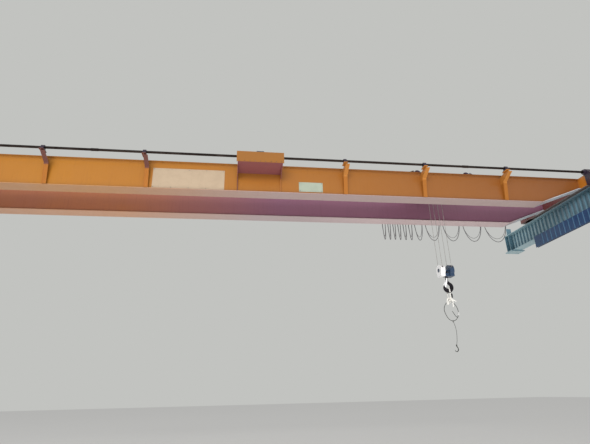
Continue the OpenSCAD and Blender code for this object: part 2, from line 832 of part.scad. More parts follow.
module trolley_motor() {
    x = trolley_x - trolley_base / 2;
    y = -track_y + frame_w / 2 + 65;
    arm_x0 = x + 40;
    arm_x1 = trolley_x - cross_x - cross_w / 2;
    color([0.24, 0.28, 0.34]) at_bridge() {
        difference() {
            block_at(x - 55, y, trolley_wheel_z - 50, [190, 90, 110]);
            translate([x, y, trolley_wheel_z]) y_cylinder(cross_shaft_d + 2 * fit, 100);
        }
        translate([x - 93, y + 45, trolley_wheel_z + 10]) rotate([0, 0, 90]) motor(110, 160);
        block_at((arm_x0 + arm_x1) / 2, y, frame_z0 + 30, [arm_x1 - arm_x0, 30, 30]);
    }
}

groove_l = drum_l - 80;
drum_axle_d = 60;
module rope_drum() {
    grooves = floor(groove_l / groove_pitch);
    body_d = drum_d - rope_d;
    r = drum_axle_d / 2;
    color([0.30, 0.28, 0.28]) at_bridge()
        translate([trolley_x, drum_y, drum_z]) rotate([0, 90, 0])
            rotate_extrude($fn = 64)
                polygon(concat(
                    [[0, -cross_x - 80], [r, -cross_x - 80], [r, -drum_l / 2],
                        [drum_d / 2 + 12, -drum_l / 2], [drum_d / 2 + 12, -drum_l / 2 + 10],
                        [body_d / 2, -drum_l / 2 + 10]],
                    [for (i = [0 : grooves - 1]) let (z = -groove_l / 2 + i * groove_pitch)
                        each [[body_d / 2, z + 1], [body_d / 2 - 4, z + groove_pitch / 2]]],
                    [[body_d / 2, drum_l / 2 - 10], [drum_d / 2 + 12, drum_l / 2 - 10],
                        [drum_d / 2 + 12, drum_l / 2], [r, drum_l / 2], [r, cross_x + 60],
                        [0, cross_x + 60]]));
}

module drum_bearings() {
    color([0.22, 0.20, 0.22]) at_bridge()
        for (s = [-1, 1]) translate([trolley_x + s * cross_x, drum_y, 0]) difference() {
            union() {
                block_at(0, 0, frame_top, [80, 160, 20]);
                block_at(0, 0, frame_top, [60, 110, drum_z - frame_top]);
                translate([0, 0, drum_z]) x_cylinder(110, 60);
            }
            translate([0, 0, drum_z]) x_cylinder(drum_axle_d + 2 * fit, 90);
        }
}

hoist_case_x = cross_x + cross_w / 2 + 70;
hoist_case_w = 110;
hoist_motor_y = 330;
hoist_motor_d = 200;
hoist_motor_z = frame_top + 0.6 * hoist_motor_d + 5;
// The gearbox seen along the drum's axis, from the drum to the motor
module hoist_case_outline() {
    belt_outline([drum_y, drum_z], 95, [hoist_motor_y, hoist_motor_z], 85);
}

module hoist_gearbox() {
    color([0.24, 0.28, 0.34]) at_bridge()
        translate([trolley_x - hoist_case_x, 0, 0]) difference() {
            union() {
                yz_plate(0, hoist_case_w) hoist_case_outline();
                block_at(hoist_case_w / 2 + 47, 60, frame_top, [95, 160, 20]);
            }
            translate([0, drum_y, drum_z]) x_cylinder(drum_axle_d + 2 * fit, hoist_case_w + 2);
        }
}

module hoist_motor() {
    foot_x = trolley_x - cross_x;
    color([0.24, 0.28, 0.34]) at_bridge() {
        translate([trolley_x - hoist_case_x + hoist_case_w / 2, hoist_motor_y, hoist_motor_z])
            motor(hoist_motor_d, 380);
        block_at(foot_x, hoist_motor_y, frame_top, [70, 150, 12]);
        block_at(foot_x, hoist_motor_y, frame_top, [60, 90, hoist_motor_z - frame_top]);
    }
}

module sheave(d, w, bore) {
    g = (drum_d - rope_d) / 2 - seat;
    h = rope_d / 2 + 1;
    rotate_extrude($fn = 64)
        difference() {
            translate([bore / 2, -w / 2]) square([(d - bore) / 2, w]);
            polygon([[g, -h], [d / 2 + 1, -h - 6], [d / 2 + 1, h + 6], [g, h]]);
            for (s = [-1, 1])
                polygon([[bore / 2 + 22, s * 9], [g - 18, s * 9], [g - 8, s * (w / 2 + 1)],
                    [bore / 2 + 12, s * (w / 2 + 1)]]);
        }
}

module upper_sheave() {
    color([0.30, 0.28, 0.28]) at_bridge() translate([trolley_x, fall_y, sheave_z]) rotate([90, 0, 0]) {
        sheave(sheave_d, 40, 20);
        cylinder(d = 36 - 2 * fit, h = 90, center = true, $fn = 48);
    }
}

// The arm that tows the festoon's first carrier, reaching over the track and down behind it
tow_x = trolley_x - frame_l / 2 + 60;
tow_y = festoon_y + 60;
tow_t = 40;
module tow_arm() {
    y0 = track_y + frame_w / 2;
    z = frame_z0 + 25;
    first_x = mid_x + carrier_at[0];
    foot_z = festoon_z - 60;
    color([0.76, 0.46, 0.20]) at_bridge() {
        block_at(tow_x, (y0 + tow_y + tow_t / 2) / 2, z, [tow_t, tow_y + tow_t / 2 - y0, tow_t]);
        block_at((first_x + tow_x) / 2, tow_y, z, [tow_x - first_x + tow_t, tow_t, tow_t]);
        block_at(first_x, tow_y, foot_z, [tow_t, tow_t, z + tow_t - foot_z]);
        translate([first_x, tow_y - tow_t / 2 - 6, foot_z + 12]) y_cylinder(16, 12, 24);
    }
}

// Rope falls between the trolley and the hook block
module rope_falls() {
    z0 = block_axle_z;
    color([0.45, 0.44, 0.42]) at_bridge()
        for (sx = [-1, 1]) {
            translate([trolley_x + sx * fall_gap / 2, -fall_y, z0])
                cylinder(d = rope_d, h = (sx > 0 ? drum_z : frame_z0) - z0, $fn = 16);
            translate([trolley_x + sx * fall_gap / 2, fall_y, z0])
                cylinder(d = rope_d, h = sheave_z - z0, $fn = 16);
        }
}

// Hook block
module guard(x) {
    translate([trolley_x + x, 0, 0]) difference() {
        yz_plate(0, guard_w) guard_outline(0);
        yz_plate(0, guard_w - 2 * guard_t) guard_outline(guard_t);
        for (s = [-1, 1]) block_at(0, s * fall_y, block_z1 - 80, [40, 46, 100]);
        translate([0, 0, block_axle_z]) x_cylinder(50, guard_w + 2);
    }
}

module guard_outline(inset) {
    r = block_l / 2 - inset;
    translate([0, block_axle_z]) circle(r = r, $fn = 64);
    translate([-r + 30, block_z0 + inset]) square([2 * r - 60, block_axle_z - block_z0 - inset]);
}

module hook_block_guards() {
    color([0.80, 0.80, 0.84]) at_bridge() guard(-fall_gap / 2);
    color([0.10, 0.10, 0.16]) at_bridge() guard(fall_gap / 2);
}

crosshead_h = 70;
nut_h = 32;
axle_end_t = 6;
module hook_block_crosshead() {
    w = fall_gap - guard_w;
    cheek = 10;
    color([0.12, 0.12, 0.16]) at_bridge()
        translate([trolley_x, 0, 0]) {
            difference() {
                block_at(0, 0, block_z0, [w, 120, crosshead_h]);
                translate([0, 0, block_z0 - 1]) cylinder(d = shank_d + 2 * fit, h = crosshead_h + 2,
                    $fn = 48);
            }
            for (s = [-1, 1])
                yz_plate(s * (w - cheek) / 2, cheek) {
                    translate([-60, block_z0]) square([120, block_axle_z - block_z0]);
                    translate([0, block_axle_z]) circle(r = 60, $fn = 48);
                }
            translate([0, 0, block_axle_z]) x_cylinder(49, block_w);
            for (s = [-1, 1]) translate([s * (block_w - axle_end_t) / 2, 0, block_axle_z])
                x_cylinder(80, axle_end_t);
        }
}

module block_sheaves() {
    color([0.30, 0.28, 0.28]) at_bridge()
        for (s = [-1, 1])
            translate([trolley_x + s * fall_gap / 2, 0, block_axle_z]) rotate([0, 90, 0])
                sheave(sheave_d, 40, 49.6);
}

neck_z = bowl_z + 112;
latch_x = -32;
latch_z = bowl_z + 96;
latch_pin_d = 8;
ear_w = 16;

// Hook: a shank with a nut above the crosshead, and a bowl that is thickest underneath
hook_steps = 27;
hook_from = 30;
hook_turn = 270;
hook_low = 150 / hook_turn;
function hook_girth(t) = hook_t / 2 * (t < hook_low ? 0.74 + 0.26 * sin(90 * t / hook_low)
    : 1 - 0.62 * pow((t - hook_low) / (1 - hook_low), 1.5));
function hook_point(t) = let (a = hook_from + hook_turn * t, r = bowl_r + hook_girth(t))
    [trolley_x + r * sin(a), 0, bowl_z + r * cos(a)];
function hook_route() = concat([[trolley_x, 0, neck_z + 30], [trolley_x + 3, 0, neck_z]],
    [for (i = [0 : hook_steps]) hook_point(i / hook_steps)], [hook_point(1.03)]);
function hook_radii() = concat([shank_d / 2 - 2, shank_d / 2 + 2],
    [for (i = [0 : hook_steps]) hook_girth(i / hook_steps)], [hook_girth(1) / 2]);
module hook() {
    color([0.10, 0.10, 0.14]) at_bridge() {
        sweep(hook_route(), hook_radii(), n = 20);
        translate([trolley_x, 0, neck_z + 5])
            cylinder(d = shank_d, h = block_z0 + crosshead_h + nut_h + 4 - neck_z - 5, $fn = 48);
        translate([trolley_x, 0, block_z0 + crosshead_h + seat])
            cylinder(d = shank_d + 26, h = nut_h, $fn = 6);
        difference() {
            union() {
                translate([trolley_x + latch_x, 0, latch_z]) y_cylinder(20, ear_w, 32);
                block_at(trolley_x + latch_x / 2, 0, latch_z - 8, [-latch_x, ear_w, 16]);
            }
            translate([trolley_x + latch_x, 0, latch_z]) y_cylinder(latch_pin_d + 2 * fit, 30, 32);
        }
    }
}

// Latch: two cheeks on a pin through the hook's ear, and a tongue down to the tip
module hook_latch() {
    t = 3;
    color([0.70, 0.66, 0.58]) at_bridge()
        translate([trolley_x + latch_x, 0, latch_z]) rotate([0, 92.5, 0]) {
            y_cylinder(latch_pin_d, ear_w + 2 * seat + 2 * t, 32);
            for (s = [-1, 1]) translate([0, s * (ear_w + 2 * seat + t) / 2, 0]) {
                y_cylinder(16, t, 32);
                block_at(15, 0, -8, [30, t, 16]);
            }
            block_at(44, 0, -2, [56, ear_w + 2 * seat + 2 * t, 4]);
        }
}

// Sling that hangs in the hook: a rope, a wire rope loop and a small hook.
// Each route is a list of points across and up from its own top, made smooth.
sling_d = 22;
wire_d = 12;
strand_d = 8;
sling_top = bowl_z - bowl_r + sling_d / 2 + seat;
sling_points = [[0, 0], [38, -10], [60, -50], [61, -112], [52, -180], [46, -245], [32, -292],
    [0, -305], [-32, -292], [-46, -245], [-52, -180], [-61, -112], [-60, -50], [-38, -10]];
wire_top = sling_top - 305 + (sling_d + wire_d) / 2 + 2 * seat;
wire_points = [[0, 0], [45, -14], [88, -52], [130, -120], [152, -210], [135, -305], [78, -385],
    [0, -415], [-78, -382], [-130, -300], [-158, -205], [-150, -125], [-104, -48], [-45, -10]];
strand_points = [[8, -38], [28, -110], [40, -200], [36, -310], [22, -420], [0, -500]];
tip_points = [[-4, -508], [-8, -528], [12, -552], [24, -588], [14, -622], [-14, -640],
    [-42, -632], [-54, -606]];

// A point between p[i] and the next one, on a smooth curve through a closed list
function between(p, i, t) = let (n = len(p), a = p[(i + n - 1) % n], b = p[i % n],
        c = p[(i + 1) % n], d = p[(i + 2) % n])
    b + t * (c - a) / 2 + t * t * (2 * a - 5 * b + 4 * c - d) / 2
        + t * t * t * (3 * b - a - 3 * c + d) / 2;
function smooth_loop(p, cuts) = [for (i = [0 : len(p) - 1], k = [0 : cuts - 1])
    between(p, i, k / cuts)];

// Points of an upright plane placed in space, along the direction way
function upright(p, way, top) = [for (q = p) [trolley_x, 0, top + q[1]] + way * q[0]];

// A closed loop of rope in the upright plane along the direction way
module rope_loop(p, way, r, n = 8) {
    side = cross(way, [0, 0, 1]);
    steps = len(p);
    points = [for (i = [0 : steps - 1], k = [0 : n - 1]) let (
            t = unit(p[(i + 1) % steps] - p[(i + steps - 1) % steps]), u = unit(cross(side, t)))
        p[i] + r * (u * cos(360 * k / n) + side * sin(360 * k / n))];
    faces = [for (i = [0 : steps - 1], k = [0 : n - 1]) let (j = (k + 1) % n, q = (i + 1) % steps)
        [q * n + k, q * n + j, i * n + j, i * n + k]];
    polyhedron(points, faces, convexity = 10);
}

module rope_sling() {
    along_y = [0, 1, 0];
    color([0.82, 0.82, 0.80]) at_bridge()
        rope_loop(upright(smooth_loop(sling_points, 2), along_y, sling_top), along_y, sling_d / 2);
}

module wire_rope_loop() {
    along_x = [1, 0, 0];
    color([0.45, 0.45, 0.45]) at_bridge()
        rope_loop(upright(smooth_loop(wire_points, 3), along_x, wire_top), along_x, wire_d / 2);
}

eye_r = 16;
module sling_hook() {
    eye_z = wire_top - 415 + wire_d / 2 + 0.8 - eye_r + strand_d / 2;
    strand = upright(strand_points, [1, 0, 0], eye_z + eye_r);
    tip = upright(tip_points, [1, 0, 0], eye_z + eye_r);
    color([0.35, 0.35, 0.36]) at_bridge() {
        translate([trolley_x, 0, eye_z]) rotate([0, 90, 0]) rotate_extrude($fn = 32)
            translate([eye_r, 0]) circle(d = strand_d, $fn = 16);
        translate([trolley_x, 0, eye_z - eye_r - 8]) cylinder(d = 18, h = 12, $fn = 24);
        sweep(strand, even(strand, strand_d / 2), n = 8);
        translate(tip[0] - [0, 0, 14]) cylinder(d = 26, h = 24, $fn = 24);
        sweep(tip, [9, 9, 9, 9, 9, 8, 6, 3], n = 12);
    }
}

left_runway_beam();
right_runway_beam();
runway_rails();
bearing_plates();
runway_stops();
conductor_duct();
front_girder_webs();
front_girder_top_flange();
front_girder_bottom_flange();
rear_girder_webs();
rear_girder_top_flange();
rear_girder_bottom_flange();
trolley_rails();
trolley_stops();
left_end_truck();
right_end_truck();
truck_buffers();
front_travel_wheels();
rear_travel_wheels();
line_shaft();
shaft_brackets();
shaft_bearings();
gear_cases();
drive_platform();
platform_front_panel();
travel_gearbox();
travel_motor();
festoon_track();
festoon_carriers();
festoon_cable();
trolley_frame();
trolley_buffers();
driven_trolley_wheels();
idle_trolley_wheels();
trolley_motor();
rope_drum();
drum_bearings();
hoist_gearbox();
hoist_motor();
upper_sheave();
tow_arm();
rope_falls();
hook_block_guards();
hook_block_crosshead();
block_sheaves();
hook();
hook_latch();
rope_sling();
wire_rope_loop();
sling_hook();
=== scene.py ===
# %% [markdown]
# # An overhead bridge crane
# Two box girders carry a low trolley with a rope hoist. A line shaft on bracket
# arms drives both ends, and a festoon cable hangs behind the rear girder. The
# rigid parts come packed as a frame, and this lesson dresses them: camera,
# ropes, light, paints, and then the small pieces that make steelwork real.

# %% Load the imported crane
import math

import bmesh
import bpy
from mathutils import Matrix, Vector


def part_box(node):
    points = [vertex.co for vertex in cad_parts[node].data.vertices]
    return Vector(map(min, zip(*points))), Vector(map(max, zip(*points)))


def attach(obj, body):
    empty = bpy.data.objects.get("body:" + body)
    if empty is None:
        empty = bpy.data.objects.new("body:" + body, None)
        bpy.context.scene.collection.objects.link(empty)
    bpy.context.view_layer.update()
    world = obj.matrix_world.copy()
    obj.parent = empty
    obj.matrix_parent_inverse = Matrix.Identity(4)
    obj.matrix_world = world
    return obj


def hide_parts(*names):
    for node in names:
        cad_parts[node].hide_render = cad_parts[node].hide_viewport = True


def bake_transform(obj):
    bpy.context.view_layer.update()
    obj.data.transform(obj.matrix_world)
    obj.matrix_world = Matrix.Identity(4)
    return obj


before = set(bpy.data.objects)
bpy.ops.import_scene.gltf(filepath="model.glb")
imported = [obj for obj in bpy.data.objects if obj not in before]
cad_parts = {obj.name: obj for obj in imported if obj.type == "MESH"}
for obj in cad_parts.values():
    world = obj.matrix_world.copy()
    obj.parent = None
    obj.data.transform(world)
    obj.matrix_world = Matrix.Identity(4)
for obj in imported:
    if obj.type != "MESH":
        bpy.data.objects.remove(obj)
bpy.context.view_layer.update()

# %% [markdown]
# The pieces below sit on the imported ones. Where a node's box gives a place it is
# read from the box, and the other sizes are written once here, under the names
# of the crane's own lines: span, girders, shaft, drum and hook.

# %% Sizes in metres
# along the span
RAILS_X = (0.0, 15.0)
MID_X = 7.5
TROLLEY_X = 11.675
BRACKETS = [MID_X + share * 7.36 for share in (-0.82, -0.567, -0.31, 0.242, 0.48, 0.736)]
FALL_X = 0.105
# along the runway
BRIDGE_Y = 2.7
WEB_OUT = 0.765
WEB_IN = 0.505
FRONT_WEB_Y = BRIDGE_Y - WEB_OUT
WHEEL_Y = (BRIDGE_Y - 1.2, BRIDGE_Y + 1.2)
SHAFT_Y = BRIDGE_Y - 1.035
FESTOON_Y = BRIDGE_Y + 0.985
DRUM_Y = BRIDGE_Y - 0.2
DRUM_R = 0.1
# up
UNDER_Z = 0.22
AXLE_Z = 0.6653
FESTOON_Z = 0.70
FRAME_UNDER = 0.88
SHAFT_Z = 0.888
FRAME_TOP = 0.95
SHEAVE_Z = 0.96
DRUM_Z = 1.015
BOWL_Z = -1.535


def size_of(node):
    low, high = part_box(node)
    return tuple(round(high[i] - low[i], 3) for i in range(3))


print("girder web:", size_of("front_girder_webs"), "hook block:", size_of("hook_block_guards"))

# %% [markdown]
# ## Camera
# A phone stood 1.6 m over the floor and looked up by 21.65 degrees, a little to
# the right and hardly rolled. Its place and lens come from a least-squares fit
# to the crane's long edges. The small function before it puts any new object
# into the scene, and all later steps use it too.

# %% Camera
def put_in_scene(name, data):
    made = bpy.data.objects.new(name, data)
    bpy.context.scene.collection.objects.link(made)
    return made


def aim_camera(place, yaw, pitch, roll, lens):
    forward = Vector((math.sin(yaw) * math.cos(pitch), math.cos(yaw) * math.cos(pitch),
                      math.sin(pitch)))
    level = Vector((math.cos(yaw), -math.sin(yaw), 0))
    above = level.cross(forward)
    right = math.cos(roll) * level + math.sin(roll) * above
    up = math.cos(roll) * above - math.sin(roll) * level
    data = bpy.data.cameras.new("photo_camera")
    data.sensor_width = 36
    data.lens = lens
    data.clip_end = 200
    camera = put_in_scene("photo_camera", data)
    turn = Matrix((right, up, -forward)).transposed().to_4x4()
    camera.matrix_world = Matrix.Translation(place) @ turn
    bpy.context.scene.camera = camera
    return camera


camera = aim_camera((7.108, -6.125, -3.643), math.radians(7.92), math.radians(21.65),
                    math.radians(-1.38), 26.457)
print("camera at", tuple(round(v, 3) for v in camera.location))

# %% [markdown]
# ## Making meshes
# Every new piece starts as a bmesh. One function closes the work: it merges
# doubles, turns the faces outwards where a spin or mirror may have flipped
# them, marks sharp edges by their angle and lets the piece ride on its body.

# %% Finish a piece
SHARP = math.radians(35)


def mesh_from(bm, name):
    mesh = bpy.data.meshes.new(name)
    bm.to_mesh(mesh)
    bm.free()
    return mesh


def place_piece(name, mesh, body, paint):
    piece = put_in_scene(name, mesh)
    mesh.materials.append(paint)
    if body:
        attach(piece, body)
    return piece


def finish_piece(bm, name, body, paint, fix=True):
    if fix:
        bmesh.ops.remove_doubles(bm, verts=bm.verts, dist=1e-6)
        bmesh.ops.recalc_face_normals(bm, faces=bm.faces)
    for edge in bm.edges:
        if len(edge.link_faces) == 2:
            edge.smooth = edge.calc_face_angle(0) < SHARP
    for face in bm.faces:
        face.smooth = True
    return place_piece(name, mesh_from(bm, name), body, paint)


# %% [markdown]
# Most small parts are sawn plate or turned bar, so two shapes do nearly all of
# the work: a block between two corners and a disc along an axis. Both get their
# edges broken by a small bevel, as a file or a lathe tool would.

# %% Blocks and discs
def add_block(bm, low, high, bevel=0.0, segments=2):
    made = bmesh.ops.create_cube(bm, size=1)["verts"]
    size = [high[i] - low[i] for i in range(3)]
    centre = [(high[i] + low[i]) / 2 for i in range(3)]
    bmesh.ops.scale(bm, vec=size, verts=made)
    bmesh.ops.translate(bm, vec=centre, verts=made)
    if bevel:
        edges = list({e for v in made for e in v.link_edges})
        bmesh.ops.bevel(bm, geom=edges, offset=bevel, segments=segments, profile=0.5,
                        affect="EDGES", material=-1)


AXES = {"x": Matrix.Rotation(math.pi / 2, 4, "Y"), "y": Matrix.Rotation(-math.pi / 2, 4, "X"),
        "z": Matrix.Identity(4), "-x": Matrix.Rotation(-math.pi / 2, 4, "Y"),
        "-y": Matrix.Rotation(math.pi / 2, 4, "X"), "-z": Matrix.Rotation(math.pi, 4, "X")}


def add_disc(bm, at, axis, radius, depth, sides=32, bevel=0.0, top=None):
    place = Matrix.Translation(at) @ AXES[axis] @ Matrix.Translation((0, 0, depth / 2))
    made = bmesh.ops.create_cone(bm, cap_ends=True, segments=sides, radius1=radius,
                                 radius2=radius if top is None else top, depth=depth,
                                 matrix=place)["verts"]
    if bevel:
        rims = [e for e in {e for v in made for e in v.link_edges}
                if any(len(f.verts) > 4 for f in e.link_faces)]
        bmesh.ops.bevel(bm, geom=rims, offset=bevel, segments=2, profile=0.5,
                        affect="EDGES", material=-1)


print("axes:", ", ".join(AXES))

# %% [markdown]
# A steel bolt head is a hexagon with its corners turned off, on a washer. One
# small template is made once and stamped wherever a bolt goes, so hundreds of
# them stay light.

# %% Bolt template
def bolt_template():
    bm = bmesh.new()
    # washer, hexagon, turned corners and the end of the thread
    add_disc(bm, (0, 0, 0), "z", 1.15, 0.16, 16)
    add_disc(bm, (0, 0, 0.16), "z", 0.92, 0.5, 6)
    add_disc(bm, (0, 0, 0.66), "z", 0.86, 0.1, 6, top=0.62)
    add_disc(bm, (0, 0, 0.76), "z", 0.42, 0.22, 10)
    return mesh_from(bm, "bolt_template")


BOLT = bolt_template()


def add_bolt(bm, at, axis, size=0.012, turn=0.0):
    stamp = BOLT.copy()
    stamp.transform(Matrix.Translation(at) @ AXES[axis] @ Matrix.Rotation(turn, 4, "Z")
                    @ Matrix.Scale(size, 4))
    bm.from_mesh(stamp)
    bpy.data.meshes.remove(stamp)


print("one bolt has", len(BOLT.polygons), "faces")

# %% [markdown]
# ## Materials
# One function turns a hex colour into linear light, and one adds a node with
# its settings and links. A link is given as a socket, a plain value as a number.

# %% Colour and node helpers
def colour(hexa):
    parts = [int(hexa[i:i + 2], 16) / 255 for i in (0, 2, 4)]
    return [c / 12.92 if c <= 0.04045 else ((c + 0.055) / 1.055) ** 2.4 for c in parts] + [1]


def add_node(tree, kind, settings=None, inputs=None):
    made = tree.nodes.new(kind)
    for key, value in (settings or {}).items():
        setattr(made, key, value)
    for key, value in (inputs or {}).items():
        if isinstance(value, bpy.types.NodeSocket):
            tree.links.new(value, made.inputs[key])
        else:
            made.inputs[key].default_value = value
    return made


def new_material(name, shown, roughness, metallic=0.0, coat=0.0, coat_roughness=0.1):
    material = bpy.data.materials.new(name)
    material.use_nodes = True
    material.diffuse_color = colour(shown)
    tree = material.node_tree
    shader = tree.nodes["Principled BSDF"]
    shader.inputs["Base Color"].default_value = colour(shown)
    shader.inputs["Roughness"].default_value = roughness
    shader.inputs["Metallic"].default_value = metallic
    shader.inputs["Coat Weight"].default_value = coat
    shader.inputs["Coat Roughness"].default_value = coat_roughness
    place = add_node(tree, "ShaderNodeTexCoord").outputs["Object"]
    return material, tree, shader, place


def noise(tree, place, scale, detail=4, roughness=0.55, stretch=(1, 1, 1)):
    turned = add_node(tree, "ShaderNodeMapping", None, {"Vector": place, "Scale": stretch})
    return add_node(tree, "ShaderNodeTexNoise", None,
                    {"Vector": turned.outputs["Vector"], "Scale": scale, "Detail": detail,
                     "Roughness": roughness}).outputs["Fac"]


def ramp(tree, value, low, high, to_low=0.0, to_high=1.0):
    return add_node(tree, "ShaderNodeMapRange", {"clamp": True},
                    {"Value": value, "From Min": low, "From Max": high, "To Min": to_low,
                     "To Max": to_high}).outputs["Result"]


def mix(tree, factor, a, b, blend="MIX"):
    made = add_node(tree, "ShaderNodeMix", {"data_type": "RGBA", "blend_type": blend})
    for socket, value in ((made.inputs[0], factor), (made.inputs[6], a), (made.inputs[7], b)):
        if isinstance(value, bpy.types.NodeSocket):
            tree.links.new(value, socket)
        else:
            socket.default_value = value
    return made.outputs[2]


def multiply(tree, a, b):
    return add_node(tree, "ShaderNodeMath", {"operation": "MULTIPLY"},
                    {0: a, 1: b}).outputs["Value"]


def facing(tree, axis):
    normal = add_node(tree, "ShaderNodeNewGeometry").outputs["Normal"]
    return add_node(tree, "ShaderNodeSeparateXYZ", None, {"Vector": normal}).outputs[axis]


def bump(tree, shader, heights):
    last = None
    for height, depth, strength in heights:
        inputs = {"Height": height, "Distance": depth, "Strength": strength}
        if last:
            inputs["Normal"] = last
        last = add_node(tree, "ShaderNodeBump", None, inputs).outputs["Normal"]
    tree.links.new(last, shader.inputs["Normal"])


# %% [markdown]
# Shop enamel on steel plate: alkyd paint, sprayed on thick. The plate under it
# buckles by a millimetre or two between its stiffeners, the colour fades in
# broad clouds, dirt runs down from the flanges, and dust lies on what faces up.
# Tints by place and by facing are painted light and shade: they draw into the
# colour where the hall's light falls brighter or darker on the crane.

# %% Sprayed enamel
def enamel(name, main, faded, grime, dust="8C8278", wear=0.35, gloss=0.32, rust=0.0,
           buckle=1.0, places=(), faces=()):
    material, tree, shader, place = new_material(name, main, gloss, coat=0.35,
                                                 coat_roughness=0.22)
    # clouds of fading about 1.2 m wide
    cloud = ramp(tree, noise(tree, place, 0.8, 3), 0.35, 0.7)
    shade = mix(tree, multiply(tree, cloud, wear), colour(main), colour(faded))
    # painted light and shade: the colour shifts by place and by facing, where the light falls
    # brighter or darker
    for axis, low, high, other in places:
        at = add_node(tree, "ShaderNodeSeparateXYZ", None, {"Vector": place}).outputs[axis]
        shade = mix(tree, ramp(tree, at, low, high), shade, colour(other))
    for axis, low, high, other in faces:
        shade = mix(tree, ramp(tree, facing(tree, axis), low, high), shade, colour(other))
    # runs of dirt 30 mm wide and half a metre long
    runs = ramp(tree, noise(tree, place, 1.0, 6, 0.6, (30, 30, 1.6)), 0.52, 0.78)
    shade = mix(tree, multiply(tree, runs, 0.45 * wear), shade, colour(grime))
    # specks of chipped paint 8 mm wide
    chips = ramp(tree, noise(tree, place, 90, 2), 0.72 - rust * 0.05, 0.75 - rust * 0.05)
    patch = ramp(tree, noise(tree, place, 2.2, 3), 0.5, 0.62)
    shade = mix(tree, multiply(tree, chips, patch), shade, colour("4A2A1C"))
    up = ramp(tree, facing(tree, "Z"), 0.6, 0.95)
    settled = multiply(tree, up, ramp(tree, noise(tree, place, 5, 5), 0.2, 0.8, 0.45, 0.9))
    shade = mix(tree, settled, shade, colour(dust))
    tree.links.new(shade, shader.inputs["Base Color"])
    rough = ramp(tree, noise(tree, place, 3.5, 5), 0.3, 0.75, gloss - 0.06, gloss + 0.22)
    tree.links.new(rough, shader.inputs["Roughness"])
    # orange peel 4 mm wide, and plate buckled over 0.4 m
    bump(tree, shader, [(noise(tree, place, 2.5, 2, 0.5, (1, 1, 0.6)), 0.02, 0.35 * buckle),
                        (noise(tree, place, 260, 2), 0.0006, 0.25)])
    return material


# faces turned downwards: the mask for painted bounce light and painted shade on undersides
DOWN = ("Z", -0.6, -0.95)
# front girder: darker brown towards the right end, painted shade where less light reaches the web
GIRDER_FRONT = enamel("orange_enamel_front_girder", "B07324", "A46826", "6E4326", gloss=0.42,
                      places=[("X", 3.5, 14.0, "905626")])
# rear girder: a darker, plum-tinted copy of the orange enamel, plum towards the right, painted
# shade from the front girder
GIRDER_REAR = enamel("orange_enamel_rear_girder", "AC6A46", "965C58", "4E302C", gloss=0.45,
                     places=[("X", 4.5, 8.0, "8C5E74")])
# front bottom flange: a pale copy of the orange enamel, mauve mid-span and near white at the right
# end, painted reflection and bounce light on the underside
FLANGE_FRONT = enamel("orange_enamel_front_flange", "B88656", "AE8262", "7A5A48", gloss=0.34,
                      places=[("X", 4.5, 8.0, "AC9490"), ("X", 13.8, 14.2, "D4D8DE")])
# rear bottom flange: a pale copy of the orange enamel, pinkish grey along the span and near white
# at the right end, painted reflection and bounce light on the underside
FLANGE_REAR = enamel("orange_enamel_rear_flange", "CC9874", "C49A80", "8A766C", gloss=0.34,
                     places=[("X", 4.5, 7.5, "B8A4A4"), ("X", 8.5, 10.5, "CDB6B6"),
                             ("X", 13.9, 14.3, "D8DCE2")])
# brackets: dark plum-brown painted shade on the left ones, blended back to the orange enamel
# towards the right and below 0.60 m
BRACKET_PAINT = enamel("orange_enamel_brackets", "6A4038", "603A34", "4A2E24", gloss=0.5,
                       buckle=0.2, places=[("X", 6.0, 9.5, "BC7A30"), ("Z", 0.63, 0.60, "A8661E")])
# platform: the left gusset and the shelf's underside drawn dark plum, painted shade
PLATFORM_PAINT = enamel("orange_enamel_platform", "B4743A", "A86C40", "7A4A24", buckle=0.2,
                        places=[("X", 7.1, 7.07, "643844")], faces=[(*DOWN, "844C52")])
# end trucks: dark plum behind the front web, painted shade between the girders; pale grey
# undersides, painted bounce light
TRUCK_PAINT = enamel("orange_enamel_trucks", "CC7E26", "BC7430", "6E4326", buckle=0.4,
                     places=[("Y", 1.92, 1.96, "7A4440")], faces=[(*DOWN, "A49A98")])
# runway beams: lighter towards the far end and on faces turned towards -Y, painted light on the
# corrugation
TEAL_PAINT = enamel("teal_enamel_runway", "26485E", "345A6C", "18303C", wear=0.6, gloss=0.3,
                    rust=0.6, places=[("Y", 1.0, 4.6, "A4C4CC")],
                    faces=[("Y", -0.1, -0.6, "6A90A0")])
DUCT_PAINT = enamel("blue_enamel_duct", "123C66", "2C5078", "0E1C32", wear=0.6, gloss=0.3)
# pleats: a lighter copy of the duct's blue, painted highlight
PLEAT_PAINT = enamel("blue_enamel_pleats", "3F6C8E", "5C84A2", "24466A", wear=0.6, gloss=0.3)
DRIVE_PAINT = enamel("slate_enamel_drives", "3E4A5A", "56606C", "1E2228", gloss=0.36,
                     buckle=0.2)
CASE_PAINT = enamel("plum_black_enamel_cases", "33293A", "463A48", "151218", gloss=0.34,
                    buckle=0.3)
# welds: plum on the rear girder, painted shade as on its web
WELD_PAINT = enamel("orange_enamel_welds", "A66C36", "8E5A38", "6E4326", buckle=0.1,
                    places=[("Y", 3.0, 3.2, "8C5E74")])
PANEL_PAINT = enamel("orange_enamel_front_panel", "9A6424", "90592C", "7A4A24", buckle=0.3)
FRAME_PAINT = enamel("plum_brown_enamel_trolley", "5A3F4C", "6E525A", "2A1C22", gloss=0.4,
                     buckle=0.3)
GUARD_WHITE = enamel("white_enamel_guard", "F8F7F6", "ECEAE8", "A8A29C", wear=0.2, buckle=0.1)
GUARD_NAVY = enamel("navy_enamel_guard", "283C56", "36506C", "0C0E18", wear=0.3, buckle=0.1)
print("enamels:", sum(1 for m in bpy.data.materials if "enamel" in m.name))

